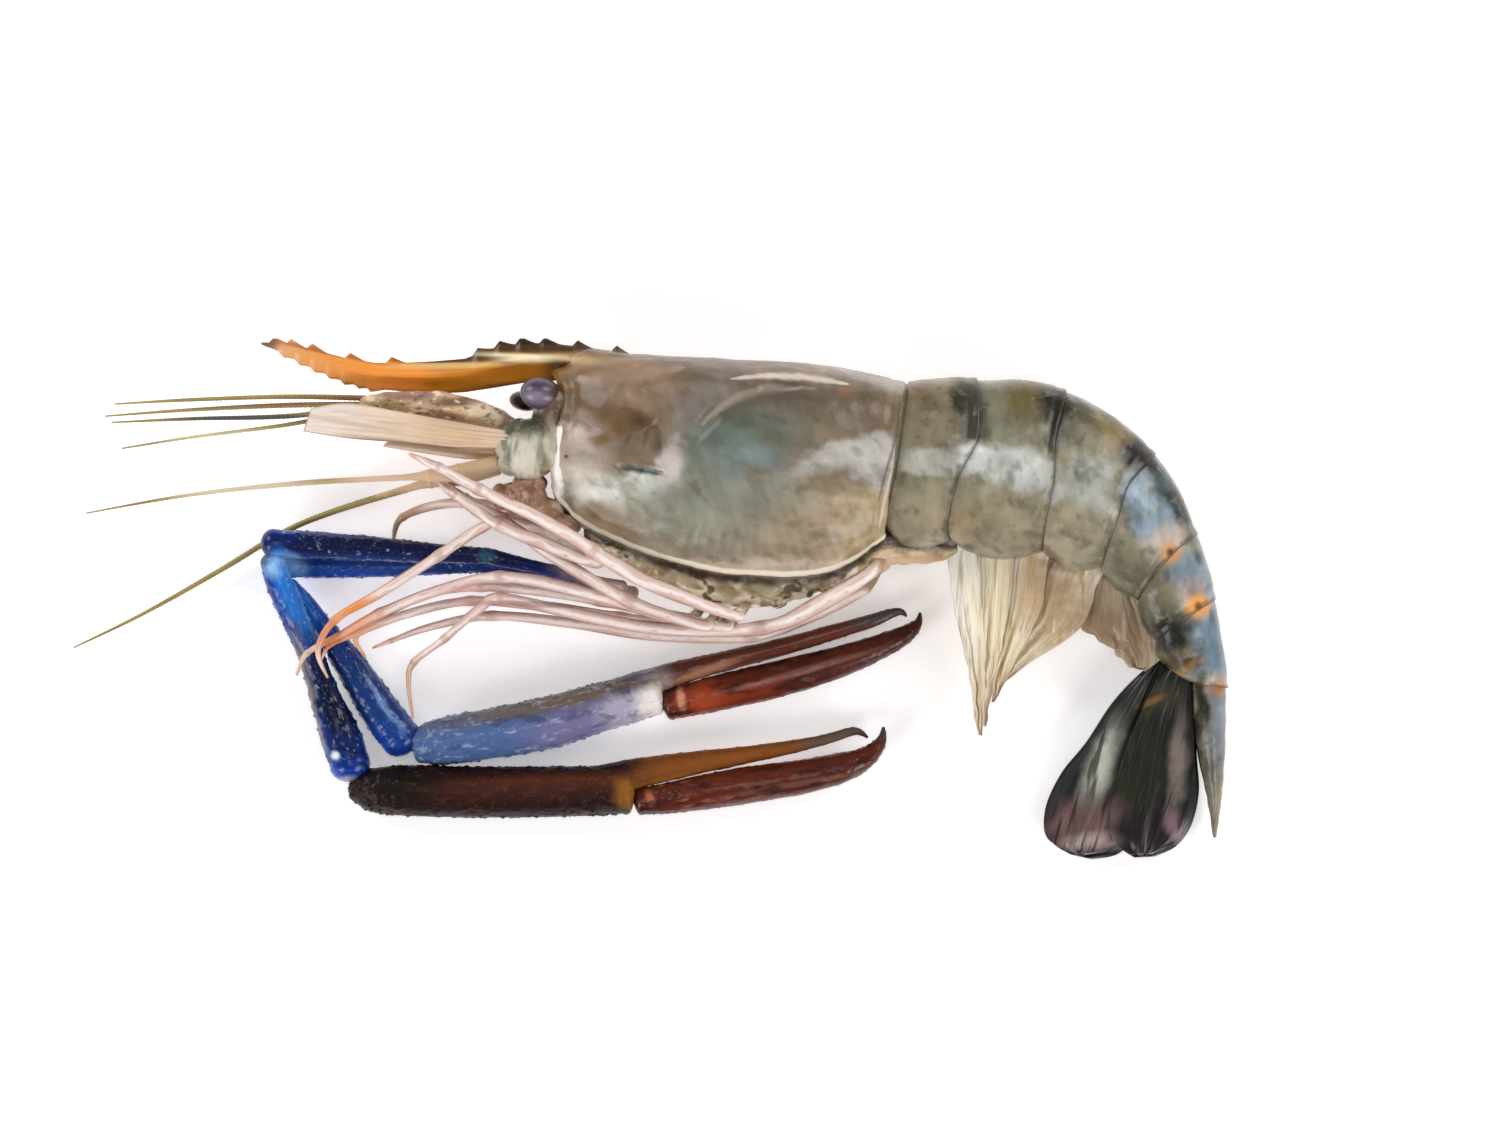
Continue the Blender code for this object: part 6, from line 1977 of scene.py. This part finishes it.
class PRAWN_OT_claws(PrawnOperator, bpy.types.Operator):
    """Builds the two long claws, each of five pieces"""

    bl_idname = "prawn.claws"
    bl_label = "Claws"

    def execute(self, context):
        look = context.scene.prawn_claws
        spine = look.spine / MM
        blue, hand, brown, finger = blue_paint(look), hand_paint(look), brown_paint(look), finger_paint(look)
        for side, pieces in ARMS.items():
            for number, (piece, rows) in enumerate(pieces.items()):
                material, slot = blue, "blue_claw"
                if piece == "palm":
                    material, slot = (brown, "brown_claw") if side == "left" else (hand, "blue_claw")
                if piece == "finger":
                    material, slot = finger, "claw_finger"
                seed = number + (7 if side == "left" else 0)
                mesh = claw_mesh(piece, rows, spine, seed)
                if piece == "palm":
                    fixed = claw_mesh("fixed finger", FIXED_FINGERS[side], spine, seed + 20)
                    mesh = unite("hand", mesh, fixed)
                node = f"claw_{side}_{piece}"
                dress(f"{node}_shell", mesh, material, slot, node)
        return {"FINISHED"}


def claw_mesh(piece, rows, spine, seed):
    """One piece of a claw: flared at its end, rough with small spines."""
    length = sum(math.dist(a[:3], b[:3]) for a, b in zip(rows, rows[1:]))

    def girth(centres, places):
        wide = 1 + 0.06 * joint_swell(places, (0.0, 1.0), 2.0 / length)
        if piece in ("ischium", "merus"):
            wide = wide + 0.05 * bell(places, 0.97, 3.0 / length)
        return wide

    rings, marks = limb_rings(rows, int(length / CLAW_RING_STEP), 84, girth, cap=CLAW_CAPS[piece])
    marks["tip"] = marks["along"] if piece == "fixed finger" else 0 * marks["along"]
    mesh = body_mesh(piece, rings, marks)
    points = read_points(mesh)
    # The spines are lower at the piece's end.
    calm = np.clip((0.97 - read_mark(mesh, "along")) * 12, 0.3, 1)
    rise = spiny(points, SPINE_SPACING, SPINE_REACH, spine * CLAW_ROUGHNESS[piece], seed) * calm
    raise_by(mesh, 0.1 * bumps(points, (4.0, 4.0, 3.0), seed) + rise)
    return mesh


def claw_base(name, colour, dark, light):
    """What the claws' paints start from: one deep colour, darker and lighter in streaks and grains."""
    paint = Paint(name, colour, 1.0, 5.0)
    paint.lay(dark, paint.grain(6, (2, 1, 1)), 0.56, 0.4, 0.5)
    paint.lay(light, paint.grain(2.4, (3, 1, 1)), 0.6, 0.74, 0.35)
    paint.shade(paint.grain(1), 0.75, 1.3)
    return paint


def blue_paint(look):
    """Chitin of the arms, thick, hardened with lime after the moult, and wet: deep blue pigment under
    a hard sharp shine, with pale specks and streaks of painted highlight."""
    paint = claw_base("limed blue chitin of the arms, wet", look.blue, look.navy, "#4f86d8")
    paint.blots(ARM_BLOTS)
    # Pale specks of painted highlight, as glints on the spines.
    paint.lay("#9cc8f0", paint.grain(1, (1.8, 1, 1), turn=-40), 0.64, 0.76, 0.6)
    paint.emboss(paint.grain(0.7), 0.05)
    return paint.finish(0.26, HARD_SHELL)


def hand_paint(look):
    """Chitin of the right hand, limed after the moult and wet, with a sharp shine: its blue is worn
    to lavender along the side, and its fixed finger is brown with a grey tip."""
    paint = claw_base("limed lavender chitin of the right hand, wet", look.hand, "#24386a", "#8a8aa8")
    paint.blots(HAND_BLOTS)
    paint.lay("#b4bed2", paint.grain(1.4, (2.6, 1, 1), turn=12), 0.56, 0.7, 0.5)
    paint.lay("#2c3654", paint.grain(1.9, (2.6, 1, 1), turn=12), 0.46, 0.34, 0.5)
    paint.lay("#5e2c12", paint.mark("tip", 0.12), 0.12, 0.26, 0.97)
    paint.blots(HAND_FINGER_BLOTS)
    paint.emboss(paint.grain(0.7), 0.05)
    return paint.finish(0.28, HARD_SHELL)


def brown_paint(look):
    """Chitin of the left hand, limed after the moult and grown over with short hairs that hold the
    water: near-black brown, dull and speckled, with an orange brown fixed finger."""
    paint = claw_base("limed brown chitin of the left hand, furred", look.brown, "#160a08", "#7a3a20")
    paint.blots(BROWN_BLOTS)
    paint.lay("#6e3c10", paint.mark("tip", 0.12), 0.12, 0.26, 0.95)
    paint.blots(BROWN_FINGER_BLOTS)
    # The hairs stand in tufts about 0.3 mm wide, drawn at 1.2 mm so that they show.
    paint.lay("#5a2e1a", paint.grain(1.2, (2.2, 1, 1)), 0.58, 0.72, 0.45)
    paint.lay("#94704a", paint.dots(1.3), 0.16, 0.06, 0.3)
    paint.emboss(paint.grain(0.5), 0.05)
    return paint.finish(0.4, FURRED_SHELL)


def finger_paint(look):
    """Chitin of the moving fingers, limed after the moult and wet: maroon, streaked along, under a
    sharp shine, with tips that are rubbed to dark grey."""
    paint = claw_base("limed maroon chitin of the fingers, wet", look.finger, "#3a1614", "#8a4a4a")
    paint.blots(FINGER_BLOTS)
    paint.lay("#2c0e08", paint.grain(3, (2.4, 0.8, 1), turn=12, detail=4), 0.52, 0.64, 0.75)
    paint.lay("#9a6048", paint.grain(1.8, (2.4, 0.8, 1), turn=12, detail=4), 0.6, 0.72, 0.5)
    paint.lay("#2c2628", paint.mark("along"), 0.86, 0.95, 0.9)
    paint.emboss(paint.grain(0.7), 0.05)
    return paint.finish(0.3, HARD_SHELL)


class PRAWN_OT_legs(PrawnOperator, bpy.types.Operator):
    """Builds the thin legs and the two mouth legs, jointed along their length"""

    bl_idname = "prawn.legs"
    bl_label = "Legs"

    def execute(self, context):
        material = leg_paint(context.scene.prawn_legs)
        for name, rows in LEGS.items():
            dress(f"{name}_limb", leg_mesh(rows, LEG_JOINTS[name]), material, "leg", name)
        return {"FINISHED"}


def leg_mesh(rows, jointed_rows):
    """One leg, from its hip in the flesh above it through its swollen joints to its point."""
    x, y, z, radius = rows[0]
    away = math.copysign(1, z - PLANE)
    lean = (Vector(rows[0][:2]) - Vector(rows[1][:2])).normalized()
    hip = [
        (x + on * lean.x + right, y + on * lean.y + up, z - inwards * away, radius)
        for on, right, up, inwards in HIPS
    ]
    rows = (*hip, *rows)
    spans = len(rows) - 1
    joints = [(number + len(hip)) / spans for number in jointed_rows]

    def girth(centres, places):
        return 1 + 0.22 * joint_swell(places, joints, 0.012) - 0.1 * joint_swell(places, joints, 0.045)

    rings, marks = limb_rings(rows, 60 * spans, 24, girth)
    along, around = marks["along"], marks["around"]
    # The painted highlight and shade, and the finer streaks, wander a little round the leg
    # on their way down.
    bend = 0.08 * np.sin(along * 26) + 0.05 * np.sin(along * 61)
    # One where the leg faces up or down, nought at its sides: for a painted highlight and painted shade.
    marks["sheen_and_shade"] = 0.5 + 0.5 * np.cos(math.tau * (around * 2 - 0.5 + bend))
    marks["streak"] = 0.5 + 0.5 * np.cos(math.tau * (around * 5 + 2 * bend))
    marks["joint"] = joint_swell(along, joints, 0.014)
    return body_mesh("limb", rings, marks)


def leg_paint(look):
    """Thin chitin of the legs over pale flesh, grown at the moult and wet: half clear, so it is a soft
    pink with brownish joints and orange ends. A painted highlight runs along its top and bottom, and
    painted shade along its sides."""
    paint = Paint("thin moulted chitin of the legs, wet", look.shell, 0.8)
    paint.shade(paint.grain(5, (2, 1, 1)), 0.85, 1.12)
    # Painted highlight along the leg's top and bottom, and painted shade along its sides.
    sheen_and_shade = paint.mark("sheen_and_shade", 0.6)
    paint.lay("#f6ebe6", sheen_and_shade, 0.58, 0.95, 0.8)
    paint.lay("#987468", sheen_and_shade, 0.3, 0.03, 0.8)
    streak = paint.mark("streak", 1.6)
    paint.lay("#b8857a", streak, 0.6, 1.2, 0.6)
    paint.lay("#7a5648", streak, 0.12, -0.2, 0.45)
    paint.lay("#b58c80", paint.mark("joint", 0.5), 0.5, 1, 0.5)
    paint.blots(LEG_BLOTS)
    paint.lay("#8a6e4c", paint.mark("along", 0.06), 0.16, 0.08, 0.8)
    paint.lay(look.tip, paint.mark("along"), 0.93, 0.985, 0.6)
    paint.emboss(paint.grain(0.7), 0.06)
    return paint.finish(0.34, WET_FLESH)


class PRAWN_OT_stage(PrawnOperator, bpy.types.Operator):
    """Sets up the plain floor, the soft light and the camera that looks straight down"""

    bl_idname = "prawn.stage"
    bl_label = "Stage"

    def execute(self, context):
        look = context.scene.prawn_stage
        add_floor(look)
        add_room()
        for name, place, size, power in LAMPS:
            add_lamp(name, place, size, power)
        add_camera(look)
        return {"FINISHED"}


def add_floor(look):
    """A plain floor, far wider than the view."""
    shape = bmesh.new()
    bmesh.ops.create_grid(shape, x_segments=2, y_segments=2, size=FLOOR_HALF_SIZE)
    mesh = bpy.data.meshes.new("floor")
    shape.to_mesh(mesh)
    shape.free()
    floor = hold("floor", mesh)
    mesh.materials.append(floor_paint(look))


def floor_paint(look):
    """White paper, pressed and uncoated, lit so brightly that it is even: it has no shine, and its
    glow stands for the light that keeps the ground of a cut-out photograph white."""
    paint = Paint("uncoated white paper", look.floor, 0.1)
    paper = {"Specular IOR Level": 0.1, "Emission Color": opaque("#fdfbfc"), "Emission Strength": 0.35}
    return paint.finish(0.9, paper, 0.02)


def add_room():
    """The faint even light of a white room."""
    world = bpy.data.worlds.new("soft room")
    world.use_nodes = True
    background = world.node_tree.nodes["Background"]
    background.inputs["Color"].default_value = opaque(ROOM_COLOUR)
    background.inputs["Strength"].default_value = ROOM_STRENGTH
    bpy.context.scene.world = world


def add_lamp(name, place, size, power):
    """A soft rectangular lamp that faces the prawn and isn't seen itself."""
    data = bpy.data.lights.new(name, "AREA")
    data.shape = "RECTANGLE"
    data.size, data.size_y = size
    data.energy = power
    lamp = hold(name, data)
    lamp.location = place
    lamp.rotation_euler = (-lamp.location).to_track_quat("-Z", "Y").to_euler()
    lamp.visible_camera = False


def add_camera(look):
    """The camera that looks straight down, so far up that its view is as wide as the user says."""
    lens = bpy.data.cameras.new("camera")
    lens.lens = LENS
    lens.sensor_width = SENSOR_WIDTH
    lens.sensor_fit = "HORIZONTAL"
    lens.clip_start, lens.clip_end = CLIP
    camera = hold("camera", lens)
    x, y, z = VIEW_CENTRE
    camera.location = (x * MM, y * MM, z * MM + look.width * LENS / SENSOR_WIDTH)
    bpy.context.scene.camera = camera
    bpy.context.scene.view_settings.view_transform = "Standard"


class PRAWN_PT_panel(bpy.types.Panel):
    """Lists the parts of the prawn and what may be changed"""

    bl_idname = "PRAWN_PT_panel"
    bl_label = "Big Head Prawn"
    bl_space_type = "VIEW_3D"
    bl_region_type = "UI"
    bl_category = "Prawn"

    def draw(self, context):
        for operator, owner in STEPS:
            column = self.layout.column(align=True)
            column.operator(operator.bl_idname)
            if owner:
                group = getattr(context.scene, owner)
                for key in group.__annotations__:
                    column.prop(group, key)


GROUPS = {
    "prawn_head": HeadSettings,
    "prawn_face": FaceSettings,
    "prawn_feelers": FeelerSettings,
    "prawn_tail": TailSettings,
    "prawn_under": UnderSettings,
    "prawn_claws": ClawSettings,
    "prawn_legs": LegSettings,
    "prawn_stage": StageSettings,
}
STEPS = (
    (PRAWN_OT_head_shell, "prawn_head"),
    (PRAWN_OT_eyes, "prawn_face"),
    (PRAWN_OT_face, None),
    (PRAWN_OT_feelers, "prawn_feelers"),
    (PRAWN_OT_feeler_scales, None),
    (PRAWN_OT_under_body, "prawn_under"),
    (PRAWN_OT_tail, "prawn_tail"),
    (PRAWN_OT_tail_fan, None),
    (PRAWN_OT_swimmerets, None),
    (PRAWN_OT_claws, "prawn_claws"),
    (PRAWN_OT_legs, "prawn_legs"),
    (PRAWN_OT_stage, "prawn_stage"),
)
CLASSES = (*GROUPS.values(), *(step[0] for step in STEPS), PRAWN_PT_panel)


def register():
    """Adds the classes and their settings to Blender."""
    for made in CLASSES:
        bpy.utils.register_class(made)
    for owner, group in GROUPS.items():
        setattr(bpy.types.Scene, owner, PointerProperty(type=group))


def unregister():
    """Takes the settings and classes away again."""
    for owner in GROUPS:
        delattr(bpy.types.Scene, owner)
    for made in reversed(CLASSES):
        bpy.utils.unregister_class(made)


def main():
    """Builds every part in order."""
    register()
    for operator, _ in STEPS:
        name = operator.bl_idname.split(".")[1]
        done = getattr(bpy.ops.prawn, name)()
        if done != {"FINISHED"}:
            raise RuntimeError(f"{operator.bl_label} could not be built")


if __name__ == "__main__":
    main()
